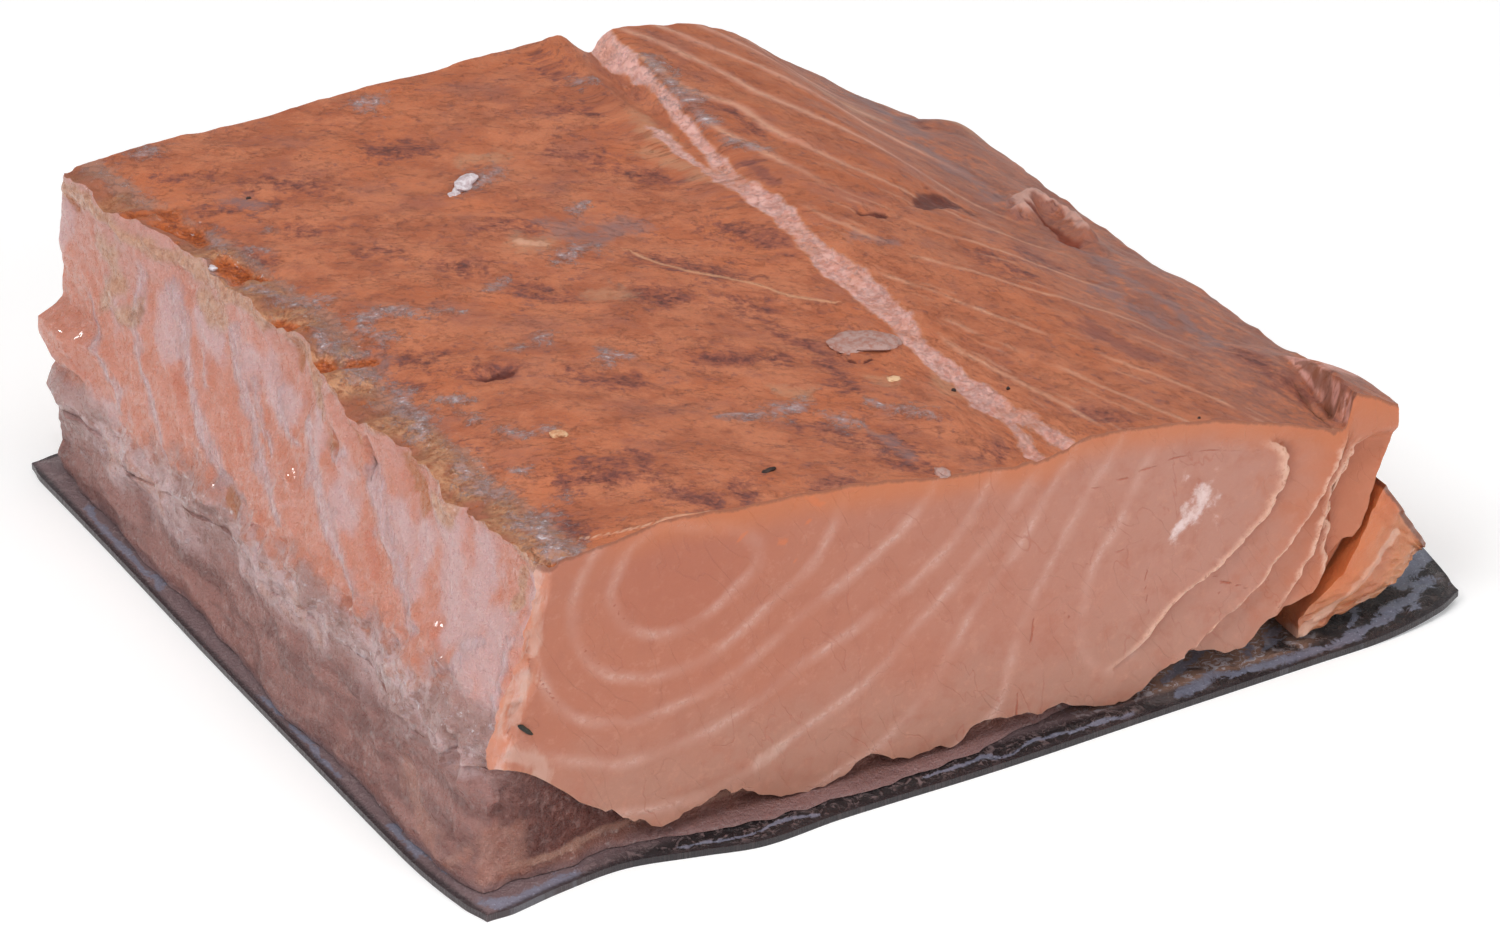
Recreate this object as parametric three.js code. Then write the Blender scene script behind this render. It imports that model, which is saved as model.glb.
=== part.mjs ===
// A block of hot-smoked salmon, cut across the fillet and still lying on its skin.
//
// Millimetres, +Z up. While it is built, x runs across the fillet from the back of the fish (left)
// to its belly (right), y runs along the fish from the near cut to the far one, and the skin's
// underside is z = 0. The group at the end puts the middle of the bounding box over the origin.
//
// Four solids: the block of flesh, the dark meat between it and the skin, the skin, and a flake
// that has come away from the belly end. Each is a warped box: a lattice of u, v and w from 0 to 1,
// whose six sides are moved to where the fish's own surfaces are.

import * as THREE from 'three';

// ---- Driving dimensions ------------------------------------------------------------------------

const SKIN_WIDTH = 145;          // across the fillet, from its front left corner
const SKIN_LENGTH = 130;         // along the fish
const SKIN_THICK = 1.2;
const CORNER_ROUND = 0.5;        // how far the skin's corners are drawn in
const RIM_DROP = 0.3;            // how much thinner the skin is at its very edge
const GAP = 0.3;                 // between two solids that touch

const CUT_FRONT = 3.4;           // y of the near cut, behind the front edge of the skin
const CUT_BACK = 126;            // y of the far cut
const DORSAL_X = 8.6;            // top edge of the left side, which leans in from the skin
const BELLY_X = 129;             // right end of the block
const BACKBONE_X = 78.7;         // the pale seam where the backbone lay

const OVERHANG = 2.2;            // the flesh stands this far in front of the dark meat
const DARK_END_X = 98;           // the dark meat thins out to here
const DARK_THIN = 0.9;           // its thickness there
const DARK_SHEET = 3.3;          // thickness over most of the width
const DARK_WEDGE = 12.2;         // the thick wedge along the dorsal side, on top of that

// ---- Profiles: pairs of a place and the value there, joined by a smooth curve ------------------

// Height of the top along x, at the near cut and at the far cut.
const TOP_FRONT = [
  [0, 41.2], [10, 42.7], [28, 44.9], [46, 43.3], [63, 40.8], [73, 39.6], [86, 40.5],
  [97, 39.0], [106, 37.1], [113, 34.4], [123, 30.6], [130, 27.3],
];
const TOP_BACK = [
  [0, 42.2], [10, 43.3], [28, 44], [60, 44.4], [75, 44.9], [88, 44.2], [98, 42.4],
  [103, 40.2], [110, 34.8], [120, 28.2], [130, 22.4],
];

// How far the left side has leaned in, from 0 at the skin to 1 at the top edge, along z.
const LEAN = [[1.5, 0], [9, 0.1], [19, 0.2], [26, 0.4], [31, 0.62], [37, 0.86], [43, 1]];
// The left side at the skin and at the top edge, along y.
const DORSAL_LOW = [[3, 1.5], [12, -1.1], [36, -0.5], [55, -1.5], [76, -0.2], [98, -0.8], [125, 1.6]];
const DORSAL_TOP = [
  [3, 1.2], [14, 0.9], [28, 0.2], [50, -0.7], [66, 1.2], [81, 0.5], [96, -0.8], [109, -3.4], [125, -5.6],
];
// The right end along z, at the near cut.
const BELLY = [[6, 117], [9.5, 120.6], [13, 124.2], [18, 126.2], [23, 128.2], [28, 130], [35, 129.4]];

// How high the belly end curls up off the skin, along x.
const CURL = [[88, 0], [94, 2.6], [101, 1.9], [107, 1.9], [112, 4.9], [117, 5.3], [122, 7.2], [130, 8.4]];

// The far cut along x.
const BACK_LINE = [[0, -1], [8, 0], [40, 0.5], [75, 0.8], [92, 0.2], [110, -0.6], [130, -3]];

// The edges of the skin: near and far along x, left and right along y. The far and the right one
// are counted from the full length and the full width.
const SKIN_FRONT = [
  [-4, -0.8], [10, 0.7], [19, 1.8], [28, 0.2], [36, -1.8], [47, -0.8], [70, -0.6], [93, 0.6],
  [116, 1.6], [131, 2.4], [140, 4.4], [147, 8],
];
const SKIN_BACK = [[-4, -2.7], [30, 0], [80, 1.2], [120, -0.6], [147, -4]];
const SKIN_LEFT = [[0, -0.4], [18, -2.6], [45, -3.2], [73, -3.6], [105, -2.8], [130, -2.4]];
const SKIN_RIGHT = [[2, -2.6], [7, -1.6], [13, -0.6], [20, 0], [31, -1], [46, -4.6], [90, -6], [130, -9]];

// Section of the loose flake: its two long sides, from the skin to the top, as [x, z].
const FLAKE_LEFT = [[117.2, 1.8], [117.6, 4.9], [122.9, 9.6], [127.2, 15.4], [129.4, 20.8]];
const FLAKE_RIGHT = [[128.4, 3.2], [131.6, 4.9], [134.3, 6.7], [136.2, 8.3], [136.8, 9.8]];
const FLAKE_FRONT = 5;
const FLAKE_LENGTH = 31;
const FLAKE_SLIM = 0.45;         // its section at the far end, against the near one

// The slab that has slipped up at the near belly corner.
const SLAB = { x: 122.4, slant: 0.13, rise: 5.4, from: 8, to: 26, edge: 1.3 };

// Flake edges on the near cut: each is a line where the next flake lies deeper, as
// [x at the foot, z at the foot, x at the top, z at the top, bow].
const FLAKE_STEPS = [
  [96, 13.5, 112.4, 32, 3.6],
  [102, 9.3, 120.4, 30, 3.2],
  [110, 8, 122.6, 28, 2.6],
  [119, 9.5, 125.4, 29, 1.2],
];
const STEP_DEPTH = 0.7;

// The foot of the dark meat at the near cut, along x: it comes forward under the overhang.
const DARK_FOOT = [[0, 3.8], [12, 3.8], [20, 4.6], [28, 3.2], [38, 1.4], [50, 0.7], [70, 1.1], [98, 3.2]];

// Where the scallops of the flesh's lower edge hang lowest on the near cut.
const SCALLOPS = [25, 46.5, 66, 91];
const SCALLOP_DROP = 2.3;

// ---- Small functions -----------------------------------------------------------------------------

const mix = (a, b, t) => a + (b - a) * t;
const clamp = (t, low, high) => Math.min(high, Math.max(low, t));

function smooth(from, to, value) {
  const t = clamp((value - from) / (to - from), 0, 1);
  return t * t * (3 - 2 * t);
}

// 1 at the centre, 0 from half a width away on.
function hump(centre, half, value) {
  const d = Math.min(1, Math.abs(value - centre) / half);
  return (1 - d * d) ** 2;
}

// Smooth curve through pairs of place and value, level beyond the ends.
function along(pairs, place) {
  const last = pairs.length - 1;
  const at = clamp(place, pairs[0][0], pairs[last][0]);
  let i = 0;
  while (i < last - 1 && at > pairs[i + 1][0]) i += 1;
  const slope = (k) => {
    const a = pairs[Math.max(0, k - 1)];
    const b = pairs[Math.min(last, k + 1)];
    return (b[1] - a[1]) / (b[0] - a[0]);
  };
  const [x0, y0] = pairs[i];
  const [x1, y1] = pairs[i + 1];
  const span = x1 - x0;
  const t = (at - x0) / span;
  const rise = (1 - t) ** 2 * (1 + 2 * t) * y0 + t * t * (3 - 2 * t) * y1;
  return rise + span * t * (1 - t) * ((1 - t) * slope(i) - t * slope(i + 1));
}

// Point on a side given as [x, z] pairs, at a share from 0 to 1 of the way along.
function onSide(side, share) {
  const spot = share * (side.length - 1);
  const i = Math.min(side.length - 2, Math.floor(spot));
  return [0, 1].map((k) => mix(side[i][k], side[i + 1][k], spot - i));
}

// Lattice lines from 0 to 1, closer together around each [place, reach, gain] given.
function lines(count, crowded = []) {
  const density = (t) => crowded.reduce((sum, [c, r, g]) => sum + g * hump(c, r, t), 1);
  const steps = 400;
  const sums = [0];
  for (let i = 0; i < steps; i += 1) sums.push(sums[i] + density((i + 0.5) / steps));
  const found = [];
  for (let k = 0; k <= count; k += 1) {
    const wanted = (sums[steps] * k) / count;
    let i = 0;
    while (i < steps - 1 && sums[i + 1] < wanted) i += 1;
    found.push((i + (wanted - sums[i]) / (sums[i + 1] - sums[i])) / steps);
  }
  return found;
}

// Closed surface of a lattice box: place(u, v, w) gives the point for each node on its six sides.
function warpedBox(us, vs, ws, place) {
  const points = [];
  const numbers = new Map();
  const node = (i, j, k) => {
    const key = `${i},${j},${k}`;
    if (!numbers.has(key)) {
      numbers.set(key, points.length / 3);
      points.push(...place(us[i], vs[j], ws[k]));
    }
    return numbers.get(key);
  };
  const triangles = [];
  const side = (na, nb, corner) => {
    for (let a = 0; a < na; a += 1) {
      for (let b = 0; b < nb; b += 1) {
        const [p, q, r, s] = [corner(a, b), corner(a + 1, b), corner(a + 1, b + 1), corner(a, b + 1)];
        triangles.push(p, q, r, p, r, s);
      }
    }
  };
  const [nu, nv, nw] = [us.length - 1, vs.length - 1, ws.length - 1];
  side(nu, nv, (a, b) => node(a, b, nw));
  side(nv, nu, (a, b) => node(b, a, 0));
  side(nu, nw, (a, b) => node(a, 0, b));
  side(nw, nu, (a, b) => node(b, nv, a));
  side(nv, nw, (a, b) => node(nu, a, b));
  side(nw, nv, (a, b) => node(0, b, a));
  const geometry = new THREE.BufferGeometry();
  geometry.setAttribute('position', new THREE.Float32BufferAttribute(points, 3));
  geometry.setIndex(triangles);
  geometry.computeVertexNormals();
  return geometry;
}

// ---- The surfaces of the block -------------------------------------------------------------------

// The skin lies flat, and only its outer corner at the belly end curls up.
function skinLift(x, y) {
  return 1.1 * smooth(124, SKIN_WIDTH, x) * (1 - smooth(20, 60, y));
}

// Top of the dark meat: a thin sheet with a thick wedge along the dorsal side.
function darkTop(x, y) {
  const sheet = mix(DARK_SHEET, DARK_THIN, smooth(76, DARK_END_X, x));
  const alongFish = mix(1, 0.6, smooth(40, 118, y));
  const wedge = DARK_WEDGE * alongFish * Math.exp(-(((x - 3) / 12) ** 2));
  return SKIN_THICK + GAP + sheet + wedge;
}

// Underside of the flesh: on the dark meat, curling up off the skin at the belly end, and with the
// lower edge of the near cut hanging in scallops in front of the dark meat.
function fleshUnder(x, y) {
  const curl = along(CURL, x) * (1 - 0.75 * smooth(25, 60, y));
  const tips = SCALLOPS.reduce((sum, tip) => sum + hump(tip, 7, x), 0);
  const rim = 1 - smooth(0.75 * OVERHANG, OVERHANG, y - CUT_FRONT);
  const hang = SCALLOP_DROP * tips * rim * smooth(20, 26, x);
  return darkTop(Math.min(x, DARK_END_X), y) + GAP + curl - hang;
}

// Top of the flesh: between the two cut profiles, with the seam of the backbone, the slab that has
// slipped up and the soft dents of the dried surface.
function fleshTop(x, y) {
  const reach = (y - CUT_FRONT) / (CUT_BACK - CUT_FRONT);
  const back = smooth(-0.05, 1.05, reach);
  const plain = mix(along(TOP_FRONT, x), along(TOP_BACK, x), back);
  const seamX = BACKBONE_X + 1.9 * smooth(0.85, 1, reach);
  const seam = hump(seamX, 4, x) * mix(0.5, 2.3, smooth(0.6, 1, reach));
  const shoulder = 2.6 * smooth(103, 124, x) * smooth(6, 26, y) * (1 - smooth(100, 118, y));
  const crack = SLAB.x + SLAB.slant * (y - CUT_FRONT);
  const slab = SLAB.rise * smooth(crack - SLAB.edge / 2, crack + SLAB.edge / 2, x)
    * (1 - smooth(SLAB.from, SLAB.to, y));
  const dents = 0.35 * Math.sin(x / 7.3 + 1.7 * Math.sin(y / 19)) * Math.sin(y / 9.1 + x / 31);
  const lip = 0.8 * Math.sin(y / 2.9) * Math.sin(y / 6.7 + 1) * hump(DORSAL_X, 9, x);
  const lump = 0.8 * hump(121, 4.5, x) * hump(63, 8, y) + 2.6 * hump(127, 7, x) * hump(107, 9, y);
  return plain - seam + shoulder + slab + dents + lip + lump;
}

// Left side: it leans in from the skin to the top edge, with a step near the far cut where the
// lower flakes stand out, and rough hollows along the fatty band.
function dorsalSide(y, z) {
  const low = along(DORSAL_LOW, y);
  const top = DORSAL_X + along(DORSAL_TOP, y);
  const ledge = 3 * smooth(106, 122, y) * (1 - smooth(23.6, 25, z)) * mix(0.3, 1, smooth(12, 24, z));
  const rough = 0.5 * Math.sin(y / 3.1 + z / 4) * hump(11, 9, z) + 0.5 * Math.sin(y / 4.7) * hump(40, 6, z);
  return mix(low, top, along(LEAN, z)) - ledge + rough;
}

// Right end: the near cut's own outline, a little rounder farther along the fish.
function bellySide(y, z) {
  const settled = smooth(14, 40, y);
  const folds = 0.6 * Math.sin(z / 2.1 + 0.6 * Math.sin(y / 11)) * settled;
  return along(BELLY, z) - settled * 1.1 * hump(32, 9, z) - 2.2 * smooth(105, 126, y) + folds;
}

// Near cut: flat, with a last few flakes that lie one behind the other towards the belly.
function nearCut(x, z) {
  let depth = 0;
  for (const [x0, z0, x1, z1, bow] of FLAKE_STEPS) {
    const share = clamp((z - z0) / (z1 - z0), -0.2, 1.1);
    const line = mix(x0, x1, share) + bow * 4 * share * (1 - share);
    depth += STEP_DEPTH * smooth(line - 0.9, line + 0.9, x) * mix(1, 0.45, smooth(line, line + 9, x));
  }
  const swell = 0.5 * hump(34, 26, x) * hump(24, 22, z);
  return CUT_FRONT + depth - swell;
}

// Far cut: flat, with the notch of the backbone.
function farCut(x, z) {
  const notch = 2.4 * hump(BACKBONE_X + 0.8, 3.6, x) * smooth(34, 44, z);
  return CUT_BACK + along(BACK_LINE, x) - notch + 0.5 * Math.sin(x / 6 + z / 5) * hump(24, 20, z);
}

// ---- The four solids -----------------------------------------------------------------------------

function fleshSolid() {
  const toX = (u) => mix(DORSAL_X, BELLY_X, u);
  const share = (x) => (x - DORSAL_X) / (BELLY_X - DORSAL_X);
  const us = lines(40, [[0, 0.06, 1.2], [share(BACKBONE_X), 0.05, 1.6], [share(SLAB.x), 0.14, 2.2]]);
  const rim = OVERHANG / (CUT_BACK - CUT_FRONT);
  const beyondRim = lines(20, [[0, 0.1, 1], [0.12, 0.1, 0.7], [1, 0.06, 1]]).map((t) => mix(rim, 1, t));
  const vs = [0, 0.4 * rim, 0.75 * rim, ...beyondRim];
  const ws = lines(13, [[0, 0.08, 0.6], [1, 0.1, 0.8]]);
  return warpedBox(us, vs, ws, (u, v, w) => {
    const y0 = mix(CUT_FRONT, CUT_BACK, v);
    const z0 = mix(fleshUnder(toX(u), y0), fleshTop(toX(u), y0), w);
    const x = mix(dorsalSide(y0, z0), bellySide(y0, z0), u);
    const z = mix(fleshUnder(x, y0), fleshTop(x, y0), w);
    return [x, mix(nearCut(x, z), farCut(x, z), v), z];
  });
}

function darkMeatSolid() {
  const us = lines(18, [[0, 0.2, 2]]);
  const vs = lines(17, [[0, 0.05, 1], [1, 0.05, 1]]);
  const ws = [0, 0.2, 0.6, 1];
  return warpedBox(us, vs, ws, (u, v, w) => {
    const y0 = mix(CUT_FRONT, CUT_BACK, v);
    const z0 = mix(SKIN_THICK + GAP, darkTop(0, y0), w);
    const bulge = 0.5 * hump(3, 3, z0) + 1.6 * hump(11.5, 4, z0) * smooth(106, 122, y0);
    const x = mix(dorsalSide(y0, z0) - bulge, DARK_END_X - 2 * w, u);
    const z = mix(SKIN_THICK + GAP, darkTop(x, y0), w);
    const brow = nearCut(x, z) + mix(0.4, OVERHANG + GAP, smooth(8, 19, x));
    const front = w === 0 ? along(DARK_FOOT, x) : brow;
    const back = CUT_BACK + along(BACK_LINE, x) - 0.8;
    return [x, mix(front, back, v), z];
  });
}

function skinSolid() {
  const us = lines(27, [[0, 0.04, 1.5], [1, 0.1, 1.5]]);
  const vs = lines(10, [[0, 0.15, 1.5], [1, 0.06, 1]]);
  return warpedBox(us, vs, lines(1), (u, v, w) => {
    const y0 = SKIN_LENGTH * v;
    const fromEnd = Math.min(u, 1 - u) * SKIN_WIDTH;
    const fromCut = Math.min(v, 1 - v) * SKIN_LENGTH;
    const pullX = CORNER_ROUND * (1 - smooth(0, 4, fromCut)) * (2 * u - 1);
    const pullY = CORNER_ROUND * (1 - smooth(0, 4, fromEnd)) * (2 * v - 1);
    const x = mix(along(SKIN_LEFT, y0), SKIN_WIDTH + along(SKIN_RIGHT, y0), u) - pullX;
    const y = mix(along(SKIN_FRONT, x), SKIN_LENGTH + along(SKIN_BACK, x), v) - pullY;
    const rim = RIM_DROP * hump(0, 2.5, Math.min(fromEnd, fromCut)) * w;
    return [x, y, skinLift(x, y) + SKIN_THICK * w - rim];
  });
}

function bellyFlakeSolid() {
  const us = lines(6);
  const vs = lines(9, [[0, 0.1, 1], [1, 0.15, 1]]);
  const ws = lines(7, [[0, 0.15, 0.6], [1, 0.15, 0.6]]);
  const foot = onSide(FLAKE_LEFT, 0);
  return warpedBox(us, vs, ws, (u, v, w) => {
    const [leftX, leftZ] = onSide(FLAKE_LEFT, w);
    const [rightX, rightZ] = onSide(FLAKE_RIGHT, w);
    const slim = mix(1, FLAKE_SLIM, smooth(0.15, 1, v));
    const x = foot[0] + (mix(leftX, rightX, u) - foot[0]) * mix(1, slim, 0.6) + 2.4 * smooth(0, 1, v);
    const z = foot[1] + (mix(leftZ, rightZ, u) - foot[1]) * slim;
    const ragged = 0.5 * Math.sin(9 * w + 2 * u) * (1 - v) * (1 - v);
    const lift = skinLift(x, FLAKE_FRONT + FLAKE_LENGTH * v) * 0.9 * (1 - w);
    return [x, FLAKE_FRONT + FLAKE_LENGTH * v + ragged + 2 * u * (1 - 2 * v), z + lift];
  });
}

// ---- The scene graph -------------------------------------------------------------------------------

const finish = (color, roughness) => new THREE.MeshStandardMaterial({ color, roughness, metalness: 0 });

const sunk = new THREE.Group();
const addPiece = (name, geometry, material) => {
  const mesh = new THREE.Mesh(geometry, material);
  mesh.name = name;
  sunk.add(mesh);
};

addPiece('flesh', fleshSolid(), finish(0xd98a66, 0.5));
addPiece('dark_meat', darkMeatSolid(), finish(0x9a7468, 0.55));
addPiece('skin', skinSolid(), finish(0x2e2c30, 0.35));
addPiece('belly_flake', bellyFlakeSolid(), finish(0xdf9c74, 0.45));

const box = new THREE.Box3().setFromObject(sunk);
const centre = box.getCenter(new THREE.Vector3());
sunk.position.set(-centre.x, -centre.y, -box.min.z);

const group = new THREE.Group();
group.add(sunk);

export default group;
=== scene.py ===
# %% [markdown]
# # A block of hot-smoked salmon
#
# This lesson dresses a model of a thick piece of smoked salmon that still lies on its skin. The solids
# come from a packed frame, and here each one is replaced by a much finer surface of the same form.
# Everything is worked out with numpy: a shape is a function of two or three parameters on a grid, and
# its finish is a network of shader nodes. Lengths are in millimetres while we think about the fish, and
# become metres when a mesh is made.

# %% Load the frame
import math

import bpy
import numpy as np
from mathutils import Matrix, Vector


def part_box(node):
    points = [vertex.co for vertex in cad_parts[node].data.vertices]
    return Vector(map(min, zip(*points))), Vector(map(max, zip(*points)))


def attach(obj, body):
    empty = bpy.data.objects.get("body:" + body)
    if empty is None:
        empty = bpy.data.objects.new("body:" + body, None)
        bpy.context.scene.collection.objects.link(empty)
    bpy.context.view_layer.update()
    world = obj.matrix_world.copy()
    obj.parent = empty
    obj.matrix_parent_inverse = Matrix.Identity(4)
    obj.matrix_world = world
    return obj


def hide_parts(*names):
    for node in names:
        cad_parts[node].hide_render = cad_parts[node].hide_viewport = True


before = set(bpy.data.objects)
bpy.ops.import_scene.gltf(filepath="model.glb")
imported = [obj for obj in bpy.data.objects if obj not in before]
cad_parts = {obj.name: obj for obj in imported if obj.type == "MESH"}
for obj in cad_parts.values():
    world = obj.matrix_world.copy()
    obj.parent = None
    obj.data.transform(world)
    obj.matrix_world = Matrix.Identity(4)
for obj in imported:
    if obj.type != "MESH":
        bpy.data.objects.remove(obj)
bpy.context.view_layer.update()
MM = 0.001
print("solids in the frame:", sorted(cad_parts))

# %% [markdown]
# ## Where the fish's own axes lie
#
# x runs across the fillet from the back of the fish to its belly, y along the fish from the near cut to
# the far one, and z up from the underside of the skin. Their zero is the skin's near left corner. The
# skin's rim stands out a little past that corner, so its box tells where the corner is in the frame.

# %% The corner that everything is measured from
SKIN_RIM_LEFT = -3.59
SKIN_RIM_NEAR = -1.82
skin_low = np.array(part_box("skin")[0]) / MM
corner = np.array([skin_low[0] - SKIN_RIM_LEFT, skin_low[1] - SKIN_RIM_NEAR, 0.0])
print("near left corner of the skin, in mm:", corner.round(2))

# %% [markdown]
# ## Camera
#
# A long lens from far away keeps the edges of the block nearly parallel. The camera stands to the left
# of the near cut and looks down on the fish by about the same angle.

# %% Camera
AIM = Vector((-3.83, -8.49, 14.98)) * MM
AZIMUTH = math.radians(-29.20)
ELEVATION = math.radians(28.93)
DISTANCE = 0.8401
LENS = 157.87


def direction(azimuth, elevation):
    """Unit vector towards a place seen at an azimuth (0 is straight in front) and an elevation."""
    flat = math.cos(elevation)
    return Vector((math.sin(azimuth) * flat, -math.cos(azimuth) * flat, math.sin(elevation)))


camera = bpy.data.objects.new("camera", bpy.data.cameras.new("camera"))
camera.data.lens = LENS
camera.data.sensor_width = 36
camera.location = AIM + DISTANCE * direction(AZIMUTH, ELEVATION)
camera.rotation_euler = (-direction(AZIMUTH, ELEVATION)).to_track_quat("-Z", "Y").to_euler()
bpy.context.collection.objects.link(camera)
bpy.context.scene.camera = camera
print("camera at", [round(c, 4) for c in camera.location])

# %% [markdown]
# ## Light and floor
#
# A studio for food is bright and soft: a pale floor, a pale sky all round, and three large lamps, of which
# the one from the upper left models the shape. Large lamps close by give soft shadows and broad
# highlights. Two small lamps add the sharp glints on what is wet.

# %% Floor, sky and lamps
FLOOR_SIZE = 6.0
scene = bpy.context.scene
scene.view_settings.view_transform = "Standard"


def lamp(name, azimuth, elevation, distance, size, power):
    """A square area lamp that looks at the fish from an azimuth and an elevation in degrees."""
    light = bpy.data.lights.new(name, "AREA")
    light.size = size
    light.energy = power
    made = bpy.data.objects.new(name, light)
    towards = direction(math.radians(azimuth), math.radians(elevation))
    made.location = AIM + distance * towards
    made.rotation_euler = (-towards).to_track_quat("-Z", "Y").to_euler()
    bpy.context.collection.objects.link(made)
    return made


lamp("key_lamp", azimuth=-70, elevation=50, distance=1.1, size=0.5, power=4.9)
lamp("top_lamp", azimuth=20, elevation=80, distance=1.2, size=0.9, power=3.6)
lamp("front_lamp", azimuth=25, elevation=24, distance=1.3, size=0.8, power=5.0)
lamp("glint_lamp", azimuth=-35, elevation=66, distance=1.5, size=0.07, power=0.9)
lamp("side_lamp", azimuth=-143, elevation=22, distance=1.3, size=0.07, power=0.8)

sky = bpy.data.worlds.new("sky")
sky.use_nodes = True
sky.node_tree.nodes["Background"].inputs["Color"].default_value = (1.0, 1.0, 1.0, 1.0)
sky.node_tree.nodes["Background"].inputs["Strength"].default_value = 0.36
scene.world = sky

floor_mesh = bpy.data.meshes.new("floor")
half = FLOOR_SIZE / 2
floor_corners = [(-half, -half, 0), (half, -half, 0), (half, half, 0), (-half, half, 0)]
floor_mesh.from_pydata(floor_corners, [], [(0, 1, 2, 3)])
floor = bpy.data.objects.new("floor", floor_mesh)
bpy.context.collection.objects.link(floor)

# %% [markdown]
# ## A few curves and hills
#
# Fish has no straight lines, so most of the lesson is made of five small tools: an eased step, a rounded
# hump, a smooth curve through a few measured places, random hills, and the distance to a route. Each
# works on whole arrays.

# %% Steps, humps and curves
def mix(a, b, t):
    """a at t = 0, b at t = 1, and the straight line between them."""
    return a + (b - a) * t


def ease(t):
    """t * t * (3 - 2 * t): level at 0 and at 1."""
    return t * t * (3 - 2 * t)


def smooth(start, end, value):
    """An eased step from 0 at start to 1 at end."""
    return ease(np.clip((value - start) / (end - start), 0, 1))


def hump(centre, reach, value):
    """(1 - d * d) squared, with d the distance from the centre as a share of the reach."""
    d = np.minimum(1, np.abs(value - centre) / reach)
    return (1 - d * d) ** 2


def along(pairs, place):
    """The smooth (cubic Hermite) curve through pairs of a place and a value, level past the ends."""
    xs, ys = np.array(pairs, float).T
    ends = np.arange(len(xs))
    after, before = np.minimum(ends + 1, ends[-1]), np.maximum(ends - 1, 0)
    slopes = (ys[after] - ys[before]) / (xs[after] - xs[before])
    at = np.clip(place, xs[0], xs[-1])
    i = np.clip(np.searchsorted(xs, at) - 1, 0, ends[-1] - 1)
    span = xs[i + 1] - xs[i]
    t = (at - xs[i]) / span
    bend = span * t * (1 - t) * ((1 - t) * slopes[i] - t * slopes[i + 1])
    return mix(ys[i], ys[i + 1], ease(t)) + bend


DENSITY_SAMPLES = 2001


def crowded(count, *places):
    """Lattice lines from 0 to 1, closer together round each (place, reach, gain)."""
    t = np.linspace(0, 1, DENSITY_SAMPLES)
    density = 1 + sum((gain * hump(place, reach, t) for place, reach, gain in places), np.zeros_like(t))
    total = np.concatenate([[0], np.cumsum((density[1:] + density[:-1]) / 2)])
    return np.interp(np.linspace(0, total[-1], count + 1), total, t)


print("half way up an eased step:", smooth(0, 1, 0.5))


# %% Random hills
HILL_GRID = 89


def hills(a, b, size, seed):
    """Random smooth hills from -1 to 1, `size` apart: heights drawn for the corners of a square grid and
    blended between corners by the eased step, both ways."""
    heights = np.random.default_rng(seed).uniform(-1, 1, (HILL_GRID, HILL_GRID))
    a, b = np.broadcast_arrays(np.asarray(a, float) / size, np.asarray(b, float) / size)
    i, j = np.floor(a).astype(int), np.floor(b).astype(int)
    s, t = ease(a - i), ease(b - j)

    def corner_height(di, dj):
        return heights[(i + di) % HILL_GRID, (j + dj) % HILL_GRID]

    near = mix(corner_height(0, 0), corner_height(1, 0), s)
    return mix(near, mix(corner_height(0, 1), corner_height(1, 1), s), t)


def rough(a, b, size, seed):
    """Hills with half-size hills on them, and quarter-size ones on those, each half as high."""
    return sum(hills(a, b, size / 2.03 ** k, seed + k) / 2 ** k for k in range(3))


print("three hills:", hills([0.5, 3.2, 9.1], 0.0, 2.0, 1).round(2))


# %% Distance to a route, and marks painted along routes
def gaps(a, b, route):
    """For each straight stretch of a route: its run, and the way to each point (a, b) from the nearest
    place on the stretch. A route of one place counts as a stretch without length."""
    route = np.array(route if len(route) > 1 else route * 2, float)
    for start, end in zip(route[:-1], route[1:]):
        run = end - start
        t = np.clip(((a - start[0]) * run[0] + (b - start[1]) * run[1]) / max(run @ run, 1e-9), 0, 1)
        yield run, a - start[0] - t * run[0], b - start[1] - t * run[1]


def away(a, b, route):
    """Distance of each point (a, b) from a route."""
    return np.min([np.hypot(gap_a, gap_b) for _, gap_a, gap_b in gaps(a, b, route)], axis=0)


def beside(a, b, route):
    """Distance to a route with a sign: above 0 on the left of its direction, below 0 on its right."""
    nearest, side = np.full(np.shape(a), np.inf), np.ones(np.shape(a))
    for run, gap_a, gap_b in gaps(a, b, route):
        distance = np.hypot(gap_a, gap_b)
        closer = distance < nearest
        side = np.where(closer, np.sign(run[0] * gap_b - run[1] * gap_a), side)
        nearest = np.where(closer, distance, nearest)
    return nearest * side


def marked(strokes, a, b):
    """Strength of a set of brush strokes at (a, b): exp(-(d / w) ** 2) for a stroke of half width w at
    the distance d, and the strongest stroke wins. Hills bend the strokes and make their width uneven."""
    strength = np.zeros(np.shape(a))
    uneven = 1 + 0.5 * rough(a, b, 2.4, 17)
    bent_a, bent_b = a + 0.7 * rough(a, b, 4.5, 23), b + 0.7 * rough(a, b, 4.5, 29)
    for width, route in strokes:
        strength = np.maximum(strength, np.exp(-(away(bent_a, bent_b, route) * uneven / width) ** 2))
    return strength


print("two millimetres from a stroke 3 wide:", marked([(3, [(0, 0), (9, 0)])], 4.0, 2.0).round(3))

# %% [markdown]
# ## The form of the block
#
# The block is a box whose six sides are warped. Its top follows one profile at the near cut and another
# at the far cut. The back side leans in, the belly end curls up off the skin, and one slab has slipped up
# at the near corner. These are the driving dimensions and profiles of the solids, so the fine surface
# lies on them.

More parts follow.
